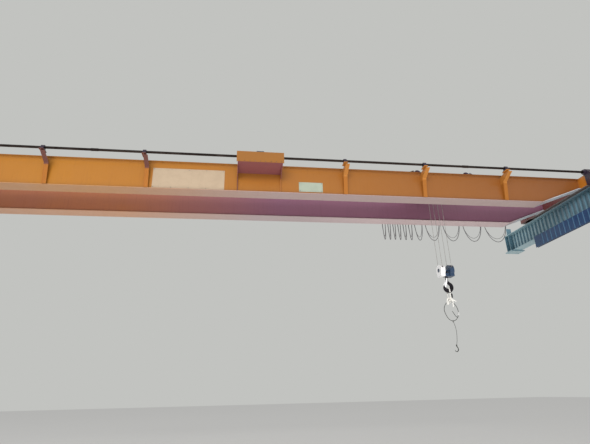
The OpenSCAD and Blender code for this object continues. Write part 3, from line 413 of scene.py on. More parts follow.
# %% [markdown]
# Bare steel comes in three states here: rolled rail whose head the wheels
# polish, cast wheels and drums under old grease, and bright zinc on small
# parts. Rust gathers in clouds and grease darkens it.

# %% Steels
def steel(name, main, dark, rough, cloud_scale, grain=(1, 1, 1), metallic=0.85, polish=0.0):
    material, tree, shader, place = new_material(name, main, rough, metallic)
    cloud = ramp(tree, noise(tree, place, cloud_scale, 5), 0.35, 0.7)
    shade = mix(tree, cloud, colour(main), colour(dark))
    fine = noise(tree, place, 140, 3, 0.6, grain)
    shade = mix(tree, ramp(tree, fine, 0.4, 0.8, 0.0, 0.35), shade, colour("2A1C16"))
    if polish:
        up = ramp(tree, facing(tree, "Z"), 0.8, 0.98)
        shade = mix(tree, multiply(tree, up, polish), shade, colour("B9B6B0"))
    tree.links.new(shade, shader.inputs["Base Color"])
    tree.links.new(ramp(tree, cloud, 0.0, 1.0, rough - 0.12, rough + 0.18),
                   shader.inputs["Roughness"])
    bump(tree, shader, [(fine, 0.0008, 0.4)])
    return material


RAIL_STEEL = steel("rolled_rail_steel", "64666A", "42403F", 0.45, 3, (1, 1, 1), 0.8, 0.8)
CAST_STEEL = steel("greased_cast_steel", "4E4644", "2C2524", 0.5, 7)
PLUM_STEEL = steel("greased_trolley_wheels", "5C4A62", "342838", 0.42, 9)
SHAFT_STEEL = steel("dark_turned_shaft", "4A403C", "2C2422", 0.38, 4, (0.1, 1, 1))
ALUMINIUM = steel("pressed_aluminium", "F2F2F0", "D6D6D2", 0.35, 12, metallic=0.3)
ZINC = steel("zinc_plated_steel", "A9A8A6", "7E7B78", 0.35, 12)
BOLT_STEEL = steel("zinc_plated_bolts", "8E8A86", "5A524C", 0.42, 25)
HOOK_STEEL = steel("forged_hook_steel", "2E2C34", "17161C", 0.42, 10, metallic=0.6)
print("steels:", sum(1 for m in bpy.data.materials if "steel" in m.name))

# %% [markdown]
# Wire rope is drawn from bright wires that dull with grease. The strands are
# real in the mesh, so the material only has to draw the single wires, about
# 1 mm thick, lying across each strand.

# %% Ropes, rubber and plates
def rope_material(name, main, dark, wire_mm, metallic, rough, soft=0.0):
    material, tree, shader, place = new_material(name, main, rough, metallic)
    shader.inputs["Sheen Weight"].default_value = soft
    wires = add_node(tree, "ShaderNodeTexWave", {"wave_type": "BANDS",
                                                 "bands_direction": "DIAGONAL"},
                     {"Vector": place, "Scale": 1000 / (20 * wire_mm), "Distortion": 1.5,
                      "Detail": 2.0}).outputs["Fac"]
    cloud = ramp(tree, noise(tree, place, 14, 4), 0.35, 0.75)
    shade = mix(tree, multiply(tree, cloud, 0.6), colour(main), colour(dark))
    shade = mix(tree, ramp(tree, wires, 0.0, 0.5, 0.55, 0.0), shade, colour(dark))
    tree.links.new(shade, shader.inputs["Base Color"])
    bump(tree, shader, [(wires, 0.0006, 0.7)])
    return material


WIRE_ROPE = rope_material("greased_wire_rope", "C2C0BC", "8E8A84", 1.2, 0.4, 0.45)
SLING_WIRE = rope_material("dull_wire_rope", "50524E", "2C2C28", 1.2, 0.5, 0.5)
WHITE_ROPE = rope_material("white_polypropylene_rope", "FCFAF4", "DCD8CE", 1.6, 0.0, 0.6, 0.3)


def rubber(name, main, worn):
    material, tree, shader, place = new_material(name, main, 0.72)
    cloud = ramp(tree, noise(tree, place, 18, 5), 0.4, 0.75)
    tree.links.new(mix(tree, multiply(tree, cloud, 0.5), colour(main), colour(worn)),
                   shader.inputs["Base Color"])
    bump(tree, shader, [(noise(tree, place, 420, 3), 0.0004, 0.5)])
    return material


BUFFER_RUBBER = rubber("moulded_buffer_rubber", "1C1B1C", "45403C")
CABLE_RUBBER = rubber("grey_neoprene_cable_sheath", "77777A", "8E8C8A")


def sheet_plate(name, main, dirt):
    material, tree, shader, place = new_material(name, main, 0.38, coat=0.3,
                                                 coat_roughness=0.15)
    cloud = ramp(tree, noise(tree, place, 6, 5), 0.45, 0.8)
    shade = mix(tree, multiply(tree, cloud, 0.5), colour(main), colour(dirt))
    runs = ramp(tree, noise(tree, place, 1.0, 5, 0.6, (50, 50, 4)), 0.6, 0.85)
    shade = mix(tree, multiply(tree, runs, 0.4), shade, colour("8A7A66"))
    tree.links.new(shade, shader.inputs["Base Color"])
    bump(tree, shader, [(noise(tree, place, 9, 2), 0.004, 0.3)])
    return material


CREAM_PLATE = sheet_plate("cream_lacquered_plate", "B8A288", "A8927A")
MINT_PLATE = sheet_plate("pale_green_lacquered_plate", "A6AE9C", "949C8C")
print("materials:", len(bpy.data.materials))

# %% [markdown]
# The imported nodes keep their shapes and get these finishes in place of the
# plain ones.

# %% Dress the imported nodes
FINISH = [
    (TEAL_PAINT, "left_runway_beam right_runway_beam bearing_plates runway_stops"),
    (DUCT_PAINT, "conductor_duct"),
    (RAIL_STEEL, "runway_rails trolley_rails"),
    (GIRDER_FRONT, "front_girder_webs front_girder_top_flange"),
    (FLANGE_FRONT, "front_girder_bottom_flange"),
    (GIRDER_REAR, "rear_girder_webs rear_girder_top_flange"),
    (FLANGE_REAR, "rear_girder_bottom_flange"),
    (TRUCK_PAINT, "left_end_truck right_end_truck"),
    (BRACKET_PAINT, "shaft_brackets tow_arm"),
    (PLATFORM_PAINT, "drive_platform"),
    (PANEL_PAINT, "platform_front_panel"),
    (CASE_PAINT, "shaft_bearings gear_cases trolley_stops drum_bearings"),
    (DRIVE_PAINT, "travel_gearbox travel_motor trolley_motor hoist_gearbox hoist_motor"),
    (FRAME_PAINT, "trolley_frame"),
    (BUFFER_RUBBER, "truck_buffers trolley_buffers"),
    (CAST_STEEL, "front_travel_wheels rear_travel_wheels rope_drum upper_sheave block_sheaves"),
    (PLUM_STEEL, "driven_trolley_wheels idle_trolley_wheels"),
    (SHAFT_STEEL, "line_shaft"),
    (ZINC, "festoon_track festoon_carriers"),
    (CABLE_RUBBER, "festoon_cable"),
    (GUARD_WHITE, "hook_block_guards hook_latch"),
    (GUARD_NAVY, "hook_block_crosshead"),
    (HOOK_STEEL, "hook"),
    (WIRE_ROPE, "rope_falls"),
    (WHITE_ROPE, "rope_sling"),
    (SLING_WIRE, "wire_rope_loop sling_hook"),
]
dressed = set()
for paint, nodes in FINISH:
    for node in nodes.split():
        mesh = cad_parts[node].data
        mesh.materials.clear()
        mesh.materials.append(paint)
        dressed.add(node)
print("nodes without a finish:", sorted(set(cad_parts) - dressed))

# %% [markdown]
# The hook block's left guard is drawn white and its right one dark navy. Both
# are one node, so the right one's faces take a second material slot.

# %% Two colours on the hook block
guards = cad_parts["hook_block_guards"].data
guards.materials.append(GUARD_NAVY)
for face in guards.polygons:
    face.material_index = 1 if face.center.x > TROLLEY_X else 0
print("navy faces:", sum(1 for f in guards.polygons if f.material_index))

# %% [markdown]
# ## Floor and light
# The hall's light is soft and comes from the front and from below, off its pale
# floor. The floor here is plain and dull, so that it only carries the shadow.

# %% Floor
def studio_floor(z):
    bm = bmesh.new()
    bmesh.ops.create_grid(bm, x_segments=1, y_segments=1, size=60)
    bmesh.ops.translate(bm, vec=(MID_X, 20, z), verts=bm.verts)
    floor = put_in_scene("studio_floor", mesh_from(bm, "studio_floor"))
    material, tree, shader, place = new_material("pale_floor", "DCDAD5", 0.9)
    shader.inputs["Specular IOR Level"].default_value = 0.0
    floor.data.materials.append(material)
    return floor


FLOOR_Z = -5.25
studio_floor(FLOOR_Z)
print("floor at", FLOOR_Z)

# %% [markdown]
# The sky shows pale behind the crane and in gloss. A second, whiter one that
# isn't seen gives the even light.

# %% Sky
def studio_sky(shown, strength):
    world = bpy.data.worlds.new("studio_sky")
    bpy.context.scene.world = world
    world.use_nodes = True
    tree = world.node_tree
    lights = tree.nodes["Background"]
    lights.inputs["Color"].default_value = colour("EDEFF2")
    lights.inputs["Strength"].default_value = strength
    seen = add_node(tree, "ShaderNodeBackground", None, {"Color": colour(shown), "Strength": 1.0})
    path = add_node(tree, "ShaderNodeLightPath")
    rays = path.outputs["Is Camera Ray"]
    for other in ("Is Glossy Ray", "Is Transmission Ray"):
        rays = add_node(tree, "ShaderNodeMath", {"operation": "MAXIMUM"},
                        {0: rays, 1: path.outputs[other]}).outputs["Value"]
    both = add_node(tree, "ShaderNodeMixShader", None,
                    {0: rays, 1: lights.outputs[0], 2: seen.outputs[0]})
    tree.links.new(both.outputs[0], tree.nodes["World Output"].inputs["Surface"])
    return world


print("sky:", studio_sky("C2C3C0", 0.75).name)

# %% [markdown]
# One wide lamp stands far in front, as the open hall does. A second lies low
# under the bridge and stands for the light that the floor throws back up at the
# undersides. Its beam is narrow, so it leaves the floor alone.

# %% Lamps
def soft_lamp(name, place, target, size, watts, spread=180):
    data = bpy.data.lights.new(name, "AREA")
    data.shape = "RECTANGLE"
    data.size, data.size_y = size
    data.energy = watts
    data.spread = math.radians(spread)
    lamp = put_in_scene(name, data)
    aim = (Vector(target) - Vector(place)).to_track_quat("-Z", "Y")
    lamp.matrix_world = Matrix.Translation(place) @ aim.to_matrix().to_4x4()
    # its mirror image would burn out the flanges when they are seen from behind
    lamp.visible_glossy = False
    return lamp


soft_lamp("front_lamp", (0, -26, 7), (5, BRIDGE_Y, 0.4), (18, 9), 1700, 100)
soft_lamp("floor_bounce", (8, 0, FLOOR_Z + 0.3), (8, 3.2, 0.2), (14, 5), 170, 84)

# %% [markdown]
# ## Ropes
# Ropes and cables are made as curves with a round section and then turned into
# meshes. A route is given by a few points, and the curve runs through each.

# %% Curves
def through(a, b, c, d, t):
    return (b + (c - a) * t / 2 + (2 * a - 5 * b + 4 * c - d) * t * t / 2
            + (3 * b - a - 3 * c + d) * t ** 3 / 2)


def round_curve(name, radius, sides):
    data = bpy.data.curves.new(name, "CURVE")
    data.dimensions = "3D"
    data.bevel_depth = radius
    data.bevel_resolution = sides
    data.use_fill_caps = True
    return data


def add_spline(data, points):
    spline = data.splines.new("POLY")
    spline.points.add(len(points) - 1)
    for i, point in enumerate(points):
        spline.points[i].co = (*point, 1)


def curve_to_piece(name, data, body, paint):
    drawn = put_in_scene(name, data)
    depsgraph = bpy.context.evaluated_depsgraph_get()
    mesh = bpy.data.meshes.new_from_object(drawn.evaluated_get(depsgraph))
    mesh.name = name
    bpy.data.objects.remove(drawn)
    for polygon in mesh.polygons:
        polygon.use_smooth = True
    return place_piece(name, mesh, body, paint)


def line_length(points):
    return sum((Vector(b) - Vector(a)).length for a, b in zip(points, points[1:]))


print("a straight metre:", line_length([(0, 0, 0), (1, 0, 0)]))

# %% [markdown]
# A rope is strands laid in a helix round its own line. The line is followed
# with a frame that doesn't twist by itself, and each strand is a curve beside
# it, so the strands keep their lay round every bend. Each kind of rope is named
# here: its diameter, strands, length of lay, step along the line and roundness.

# %% Strands round a line
FALL_ROPE = (0.010, 6, 0.075, 0.010, 1)
WOUND_ROPE = (0.010, 3, 0.060, 0.012, 1)
SLING_ROPE = (0.026, 3, 0.085, 0.006, 2)
KNOT_ROPE = (0.024, 3, 0.080, 0.006, 2)
LOOP_WIRE = (0.012, 6, 0.085, 0.006, 1)


def even_points(points, step):
    out = [Vector(points[0])]
    left = step
    for a, b in zip(points, points[1:]):
        a, b = Vector(a), Vector(b)
        span = (b - a).length
        while span > 1e-9 and left <= span:
            out.append(a.lerp(b, left / span))
            left += step
        left -= span
    if (out[-1] - Vector(points[-1])).length > step * 0.3:
        out.append(Vector(points[-1]))
    return out


def laid_rope(name, body, lines, kind, paint):
    diameter, strands, lay, step, sides = kind
    strand_r = diameter / 2 * (0.5 if strands == 3 else 0.36)
    data = round_curve(name, strand_r, sides)
    for line in lines:
        points = even_points(line, step)
        side = (points[1] - points[0]).orthogonal().normalized()
        for k in range(strands):
            strand = []
            u = side.copy()
            for i, p in enumerate(points):
                ahead = points[min(i + 1, len(points) - 1)] - points[max(i - 1, 0)]
                ahead.normalize()
                u = (u - ahead * u.dot(ahead)).normalized()
                angle = 2 * math.pi * (k / strands + i * step / lay)
                out = u * math.cos(angle) + ahead.cross(u) * math.sin(angle)
                strand.append(p + out * (diameter / 2 - strand_r))
            add_spline(data, strand)
    return curve_to_piece(name, data, body, paint)


print("strands in a fall:", FALL_ROPE[1])

# %% [markdown]
# The four falls between trolley and hook block are 10 mm hoist rope with six
# strands. They stretch between two bodies as the hook moves.

# %% Rope falls
falls_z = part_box("rope_falls")[0][2]
fall_ends = [(FALL_X, -0.1, DRUM_Z), (-FALL_X, -0.1, FRAME_UNDER), (FALL_X, 0.1, SHEAVE_Z),
             (-FALL_X, 0.1, SHEAVE_Z)]
falls = laid_rope("hoist_rope_falls", None,
                  [[(TROLLEY_X + x, BRIDGE_Y + y, falls_z), (TROLLEY_X + x, BRIDGE_Y + y, z)]
                   for x, y, z in fall_ends], FALL_ROPE, WIRE_ROPE)
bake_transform(falls)
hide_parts("rope_falls")
print("falls:", len(falls.data.polygons), "faces")

# %% [markdown]
# The rest of the rope is wound on the drum in its grooves, one turn per 14 mm.

# %% Rope on the drum
TURNS = 24
GROOVE_PITCH = 0.014
POINTS_A_TURN = 24
drum_line = []
for i in range(TURNS * POINTS_A_TURN + 1):
    angle = 2 * math.pi * i / POINTS_A_TURN
    drum_line.append((TROLLEY_X + FALL_X - GROOVE_PITCH * i / POINTS_A_TURN,
                      DRUM_Y + DRUM_R * math.cos(angle), DRUM_Z + DRUM_R * math.sin(angle)))
wound = laid_rope("rope_on_drum", "drum", [drum_line], WOUND_ROPE, WIRE_ROPE)
print("wound rope:", round(line_length(drum_line), 1), "m,", len(wound.data.polygons), "faces")

# %% [markdown]
# ## Sling
# A white rope sling hangs doubled in the hook, a stiff wire rope loop hangs in
# the sling, and a small hook hangs in the loop. Each route is a list of points
# in millimetres, across and up from its own top, made smooth as a closed curve
# that runs through every point.

# %% Routes of the sling
SLING_ROUTE = [(0, 0), (38, -10), (60, -50), (61, -112), (52, -180), (46, -245), (32, -296),
               (0, -309), (-32, -296), (-46, -245), (-52, -180), (-61, -112), (-60, -50),
               (-38, -10)]
WIRE_ROUTE = [(0, 0), (45, -14), (88, -52), (130, -120), (152, -210), (135, -305), (78, -385),
              (0, -415), (-78, -382), (-130, -300), (-158, -205), (-150, -125), (-104, -48),
              (-45, -10)]
SLING_TOP = BOWL_Z - 0.046 + 0.013 + 0.0003
WIRE_TOP = SLING_TOP - 0.309 + 0.019 + 0.0006


def smooth_loop(route, cuts, along, top):
    points = []
    count = len(route)
    for i in range(count):
        a, b, c, d = (Vector(route[(i + k) % count]) for k in (-1, 0, 1, 2))
        for k in range(cuts):
            across, up = through(a, b, c, d, k / cuts) / 1000
            points.append(Vector((TROLLEY_X, BRIDGE_Y, top + up)) + Vector(along) * across)
    return points + [points[0].copy()]


sling_path = smooth_loop(SLING_ROUTE, 2, (0, 1, 0), SLING_TOP)
wire_path = smooth_loop(WIRE_ROUTE, 2, (1, 0, 0), WIRE_TOP)
print("sling:", round(line_length(sling_path), 3), "m, wire loop:",
      round(line_length(wire_path), 3), "m")

# %% [markdown]
# The sling is 26 mm polypropylene rope in three strands, so its valleys show.
# It is laid once round its closed route, which gives the strands a small step
# where they meet, hidden by the hook's bowl.

# %% Rope sling
sling_line = smooth_loop(SLING_ROUTE, 6, (0, 1, 0), SLING_TOP)
sling = laid_rope("white_rope_sling", "hook", [sling_line], SLING_ROPE, WHITE_ROPE)
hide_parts("rope_sling")
print("sling:", len(sling.data.polygons), "faces")

# %% [markdown]
# The sling's ends are tied round both legs: two turns, a bight that hangs out
# to the left, and two tails with melted ends.

# %% Knot
def open_curve(points, cuts):
    out = []
    for i in range(len(points) - 1):
        a, b, c, d = (Vector(points[max(0, min(len(points) - 1, i + k))]) for k in (-1, 0, 1, 2))
        for k in range(cuts):
            out.append(through(a, b, c, d, k / cuts))
    return out + [Vector(points[-1])]


def from_sling(points):
    return [Vector((TROLLEY_X, BRIDGE_Y, SLING_TOP)) + Vector(p) / 1000 for p in points]


hitch = []
for i in range(31):
    angle = 2 * math.pi * i / 14
    hitch.append((31 * math.sin(angle), -69 * math.cos(angle), -222 - i * 1.65))
bight = [(4, -68, -258), (-40, -80, -236), (-82, -82, -240), (-102, -80, -280), (-106, -74, -328),
         (-94, -68, -366), (-74, -68, -344), (-64, -72, -304), (-44, -78, -280), (-6, -76, -270)]
long_tail = [(2, -70, -244), (14, -92, -262), (20, -90, -310), (16, -80, -362), (20, -68, -416)]
short_tail = [(-4, -66, -272), (30, -92, -274), (66, -94, -292), (92, -84, -308)]
knot = laid_rope("sling_knot", "hook", [open_curve(from_sling(part), 4)
                                        for part in (hitch, bight, long_tail, short_tail)],
                 KNOT_ROPE, WHITE_ROPE)
print("knot:", len(knot.data.polygons), "faces")

# %% [markdown]
# A sheet latch closes the hook's mouth. It is pressed from sheet and painted
# white. Its two cheeks straddle the neck and the tip, so each one is a strap
# between round ends: the hull of short discs.

# %% Latch
def add_strap(bm, ends, y, thickness):
    for number, pair in enumerate(zip(ends, ends[1:])):
        # each next strap is a little thicker, so that no two faces share a plane
        thickness += 0.0006 * number
        rims = []
        for x, z, r in pair:
            for at in (y - thickness / 2, y + thickness / 2):
                rims += bmesh.ops.create_circle(
                    bm, segments=28, radius=r,
                    matrix=Matrix.Translation((x, at, z)) @ AXES["y"])["verts"]
        bmesh.ops.convex_hull(bm, input=rims)


PIN = (TROLLEY_X - 0.032, BOWL_Z + 0.096)
CHEEK = [(TROLLEY_X - 0.014, BOWL_Z + 0.172, 0.015), (*PIN, 0.017),
         (TROLLEY_X - 0.064, BOWL_Z + 0.038, 0.022), (TROLLEY_X - 0.068, BOWL_Z - 0.006, 0.013)]
bm = bmesh.new()
for side in (-1, 1):
    add_strap(bm, CHEEK, BRIDGE_Y + side * 0.0335, 0.003)
    add_disc(bm, (PIN[0], BRIDGE_Y + side * 0.034, PIN[1]), "y" if side > 0 else "-y", 0.007,
             0.005, 20, 0.001)
add_disc(bm, (PIN[0], BRIDGE_Y - 0.034, PIN[1]), "y", 0.004, 0.068, 20)
add_block(bm, (PIN[0] - 0.002, BRIDGE_Y - 0.033, BOWL_Z + 0.024),
          (PIN[0] + 0.001, BRIDGE_Y + 0.033, BOWL_Z + 0.082), 0.001)
latch = finish_piece(bm, "white_sheet_latch", "hook", GUARD_WHITE)
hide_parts("hook_latch")
print("latch:", len(latch.data.polygons), "faces")

# %% [markdown]
# A dark tag hangs at the sling's front leg: a collar round the rope, a short
# arm and a moulded plate. It and the knot belong to the sling's cord.

# %% Tag and the sling's cord
tag_x, tag_y = TROLLEY_X + 0.031, BRIDGE_Y - 0.061
bm = bmesh.new()
add_disc(bm, (TROLLEY_X, tag_y, SLING_TOP - 0.118), "z", 0.0155, 0.014, 28, 0.002)
for x0, z0, x1, z1, half in ((TROLLEY_X + 0.012, 0.116, tag_x + 0.004, 0.1125, 0.006),
                             (tag_x, 0.14, tag_x + 0.004, 0.114, 0.006),
                             (tag_x - 0.015, 0.222, tag_x + 0.019, 0.132, 0.0015)):
    add_block(bm, (x0, tag_y - half, SLING_TOP - z0), (x1, tag_y + half, SLING_TOP - z1), 0.0012)
tag = finish_piece(bm, "sling_tag", "hook", BUFFER_RUBBER)
print("tag:", len(tag.data.polygons), "faces")

# %% [markdown]
# The wire loop is 12 mm wire rope with six strands. A pressed aluminium ferrule
# closes it on the right, and the cut end of the wire points inwards from it.

# %% Wire loop, ferrule and cut end
wire_line = smooth_loop(WIRE_ROUTE, 6, (1, 0, 0), WIRE_TOP)
wire = laid_rope("wire_rope_ring", "hook", [wire_line], LOOP_WIRE, SLING_WIRE)
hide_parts("wire_rope_loop")


def from_wire(points):
    return [Vector((TROLLEY_X, BRIDGE_Y, WIRE_TOP)) + Vector(p) / 1000 for p in points]


cut_end = laid_rope("wire_cut_end", "hook", [open_curve(from_wire(
    [(150, -2, -240), (144, -4, -288), (120, -8, -328), (84, -12, -330), (44, -14, -272),
     (10, -14, -212)]), 6)], LOOP_WIRE, SLING_WIRE)

bm = bmesh.new()
bmesh.ops.create_cone(bm, cap_ends=True, segments=24, radius1=0.017, radius2=0.017, depth=0.07)
rims = [e for e in bm.edges if any(len(f.verts) > 4 for f in e.link_faces)]
bmesh.ops.bevel(bm, geom=rims, offset=0.004, segments=3, profile=0.5, affect="EDGES", material=-1)
low, high = from_wire([(143, 0, -295), (150, 0, -240)])
lean = (high - low).to_track_quat("Z", "Y").to_matrix().to_4x4()
bmesh.ops.transform(bm, matrix=Matrix.Translation((low + high) / 2) @ lean
                    @ Matrix.Diagonal((1.35, 1, 1, 1)), verts=bm.verts)
ferrule = finish_piece(bm, "wire_loop_ferrule", "hook", ALUMINIUM)
print("wire loop:", len(wire.data.polygons), "faces")

# %% [markdown]
# ## Festoon
# The trolley tows the first carrier and the last one is fixed, and the carriers
# and the cable stand between the trolley and the bridge at listed shares of the
# track's half length.

# %% Places along the track
FESTOON_HALF = 7.21
SHARES = [0.438, 0.458, 0.476, 0.494, 0.513, 0.533, 0.555, 0.594, 0.659, 0.735, 0.818, 0.915]
CARRIERS = [MID_X + share * FESTOON_HALF for share in SHARES]
SADDLE_Z = FESTOON_Z - 0.07
LAY_R = 0.032 / math.cos(math.radians(15)) + 0.0003
LOOP_LOW = UNDER_Z - 0.334


def blend_carrier(piece):
    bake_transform(piece)


print("carriers from", round(CARRIERS[0], 2), "to", round(CARRIERS[-1], 2), "m")

# %% [markdown]
# A carrier is a pair of small wheels on a pin, inside the track, with two
# pressed cheeks below it that hold a round saddle. The saddle's section is
# turned through half a circle, as the sheet would be rolled.

# %% Carriers
wheel_z = FESTOON_Z + 0.0123
for number, x in enumerate(CARRIERS):
    bm = bmesh.new()
    for side in (-1, 1):
        add_disc(bm, (x, FESTOON_Y + side * 0.009 - 0.0035, wheel_z), "y", 0.009, 0.007, 20,
                 0.001)
        add_block(bm, (x - 0.015, FESTOON_Y + side * 0.0165 - 0.0015, SADDLE_Z - 0.002),
                  (x + 0.015, FESTOON_Y + side * 0.0165 + 0.0015, SADDLE_Z + 0.0465), 0.0008)
        add_bolt(bm, (x, FESTOON_Y + side * 0.018, SADDLE_Z), "y" if side > 0 else "-y", 0.006)
    add_disc(bm, (x, FESTOON_Y - 0.012, wheel_z), "y", 0.004, 0.024, 12)
    add_block(bm, (x - 0.012, FESTOON_Y - 0.0025, SADDLE_Z + 0.048),
              (x + 0.012, FESTOON_Y + 0.0025, wheel_z), 0.0008)
    add_block(bm, (x - 0.015, FESTOON_Y - 0.018, SADDLE_Z + 0.044),
              (x + 0.015, FESTOON_Y + 0.018, SADDLE_Z + 0.05), 0.0012)
    rim = [bm.verts.new((x - r, FESTOON_Y + w, SADDLE_Z)) for r, w in
           ((0.0238, -0.0148), (0.0238, 0.0148), (0.0185, 0.0148), (0.0185, -0.0148))]
    rim_edges = [bm.edges.new((rim[i], rim[(i + 1) % 4])) for i in range(4)]
    turned = bmesh.ops.spin(bm, geom=rim + rim_edges, cent=(x, FESTOON_Y, SADDLE_Z),
                            axis=(0, 1, 0), angle=math.pi, steps=16, use_merge=False)
    bmesh.ops.contextual_create(bm, geom=rim_edges)
    bmesh.ops.contextual_create(bm, geom=[g for g in turned["geom_last"]
                                          if isinstance(g, bmesh.types.BMEdge)])
    carrier = finish_piece(bm, f"festoon_carrier_{number + 1:02d}", None, ZINC)
    blend_carrier(carrier)
    if number == 0:
        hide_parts("festoon_carriers")
print("one carrier:", len(carrier.data.polygons), "faces")

# %% [markdown]
# Two cables lie side by side over the saddles and hang between them in loops
# of unequal depth: the supply cable, 16 mm thick, and a thinner control cable.

# %% Festoon cables
def festoon_line(aside, radius, low):
    points = []
    for i, x in enumerate(CARRIERS):
        for k in range(17):
            angle = math.pi * k / 16
            points.append((x - radius * math.cos(angle), FESTOON_Y + aside,
                           SADDLE_Z + radius * math.sin(angle)))
        if i == len(CARRIERS) - 1:
            break
        start, end = x + radius, CARRIERS[i + 1] - radius
        for k in range(1, 28):
            turn = math.pi * k / 28
            points.append((start + (end - start) * (0.5 - 0.5 * math.cos(turn)),
                           FESTOON_Y + aside, SADDLE_Z - (SADDLE_Z - low) * math.sin(turn) ** 0.8))
    return points


def round_cable(name, body, lines, diameter, sides, paint):
    data = round_curve(name, diameter / 2, sides)
    for line in lines:
        add_spline(data, line)
    return curve_to_piece(name, data, body, paint)


supply = round_cable("festoon_supply_cable", None, [festoon_line(-0.006, LAY_R, LOOP_LOW)],
                     0.016, 3, CABLE_RUBBER)
control = round_cable("festoon_control_cable", None,
                      [festoon_line(0.008, LAY_R - 0.003, LOOP_LOW + 0.09)], 0.010, 2,
                      CABLE_RUBBER)
for cable in (supply, control):
    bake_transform(cable)
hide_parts("festoon_cable")
print("cables:", len(supply.data.polygons) + len(control.data.polygons), "faces")

# %% [markdown]
# ## Fine steelwork
# Fillet welds close the corners between webs and flanges. A weld is a bead
# about 8 mm across, so a thin round bar laid in each corner draws it.

# %% Weld beads
def weld_lines():
    # the bent lower edge of a web, from end to end
    low_edge = [(0.14, 0.602), (0.18, 0.602), (1.18, 0.232), (13.82, 0.232), (14.82, 0.602),
                (14.86, 0.602)]
    (start, low), (end, low) = low_edge[0], low_edge[-1]
    high = 0.828
    lines = []
    for y in (-WEB_OUT, -WEB_IN, WEB_IN, WEB_OUT):
        lines.append([(x, BRIDGE_Y + y, z) for x, z in low_edge])
        lines.append([(start, BRIDGE_Y + y, high), (end, BRIDGE_Y + y, high)])
    for x in (start, end):
        for y in (-WEB_OUT, WEB_OUT):
            lines.append([(x, BRIDGE_Y + y, low), (x, BRIDGE_Y + y, high)])
    return lines


welds = round_cable("girder_fillet_welds", "bridge", weld_lines(), 0.009, 1, WELD_PAINT)
print("weld beads:", len(welds.data.polygons), "faces")

# %% [markdown]
# Two lacquered sheet plates are riveted to the front web. They are bare. A thin
# box with rounded corners and a raised rim reads as sheet metal with a fold.

# %% Plates on the front web
def web_plate(name, x0, x1, z0, z1, paint):
    bm = bmesh.new()
    add_block(bm, (x0, FRONT_WEB_Y - 0.004, z0), (x1, FRONT_WEB_Y, z1), 0.0012)
    faces = [f for f in bm.faces if f.normal.y < -0.9 and f.calc_area() > 0.05]
    bmesh.ops.inset_region(bm, faces=faces, thickness=0.012, depth=0.0)
    bmesh.ops.inset_region(bm, faces=faces, thickness=0.003, depth=-0.0015)
    plate = finish_piece(bm, name, "bridge", paint)
    bm = bmesh.new()
    columns = max(2, round((x1 - x0) / 0.35) + 1)
    for i in range(columns):
        x = x0 + 0.022 + (x1 - x0 - 0.044) * i / (columns - 1)
        for z in (z0 + 0.02, z1 - 0.02):
            add_disc(bm, (x, FRONT_WEB_Y - 0.003, z), "-y", 0.008, 0.004, 14, top=0.005)
    finish_piece(bm, name + "_rivets", "bridge", ZINC)
    return plate


web_plate("cream_web_plate", 5.36, 6.79, 0.245, 0.685, CREAM_PLATE)
web_plate("mint_web_plate", 8.33, 8.835, 0.27, 0.49, MINT_PLATE)

# %% [markdown]
# The line shaft is drawn bar. Its lengths meet in slim sleeves held by set
# screws, hardly thicker than the bar, so it runs past as one straight line.

# %% Line shaft
SLEEVES = ((BRACKETS[1] + BRACKETS[2]) / 2, (BRACKETS[4] + BRACKETS[5]) / 2)
BAR_R = 0.025
SLEEVE_R = 0.029
SLEEVE_LONG = 0.14
shaft_low, shaft_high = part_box("line_shaft")
shaft_long = shaft_high[0] - shaft_low[0]
bm = bmesh.new()
add_disc(bm, (shaft_low[0], SHAFT_Y, SHAFT_Z), "x", BAR_R, shaft_long, 48, 0.002)
for x in SLEEVES:
    add_disc(bm, (x - SLEEVE_LONG / 2, SHAFT_Y, SHAFT_Z), "x", SLEEVE_R, SLEEVE_LONG, 48, 0.002)
shaft = finish_piece(bm, "line_shaft_with_sleeves", "shaft", SHAFT_STEEL)
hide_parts("line_shaft")
print("shaft:", round(shaft_long, 2), "m long")

# %% [markdown]
# Zinc-plated bolts hold the bearings on their brackets and the gear cases with
# their covers, and set screws hold the sleeves. Each group is one mesh, stamped
# from the template, and every next bolt stops at another angle.

# %% Bolts of the travel drive
def bolt_group(name, body, places, size):
    bm = bmesh.new()
    for number, (at, axis) in enumerate(places):
        add_bolt(bm, at, axis, size, 0.4 * number)
    return finish_piece(bm, name, body, BOLT_STEEL, fix=False)


bolt_group("bearing_bolts", "bridge",
           [((x, SHAFT_Y + side * 0.06, 0.85), "z") for x in BRACKETS for side in (-1, 1)]
           + [((x, SHAFT_Y + side * 0.06, 0.816), "-z") for x in BRACKETS for side in (-1, 1)],
           0.011)
TRUCK_HALF = 0.16
# across the runway and up: the bolts round a gear case's foot
CASE_FOOT = [(1.372, 0.582), (1.45, 0.582), (1.6, 0.582), (1.668, 0.582), (1.668, 0.69),
             (1.668, 0.788), (1.372, 0.69), (1.372, 0.788)]
case_bolts = []
for x, out, way, back in ((RAILS_X[1], 1, "x", "-x"), (RAILS_X[0], -1, "-x", "x")):
    for y, z in CASE_FOOT:
        case_bolts.append(((x - out * TRUCK_HALF, y, z), back))
    for middle, radius in (((SHAFT_Y, SHAFT_Z), 0.058), ((WHEEL_Y[0], AXLE_Z), 0.067)):
        for k in range(6):
            angle = math.pi * (2 * k + 1) / 6
            case_bolts.append(((x + out * 0.26, middle[0] + radius * math.cos(angle),
                                middle[1] + radius * math.sin(angle)), way))
    for k in range(7):
        angle = math.radians(100 + 28 * k)
        case_bolts.append(((x + out * 0.25, WHEEL_Y[0] - 0.003 + 0.118 * math.cos(angle + 1.6),
                            AXLE_Z + 0.118 * math.sin(angle + 1.6)), way))
bolt_group("gear_case_bolts", "bridge", case_bolts, 0.009)
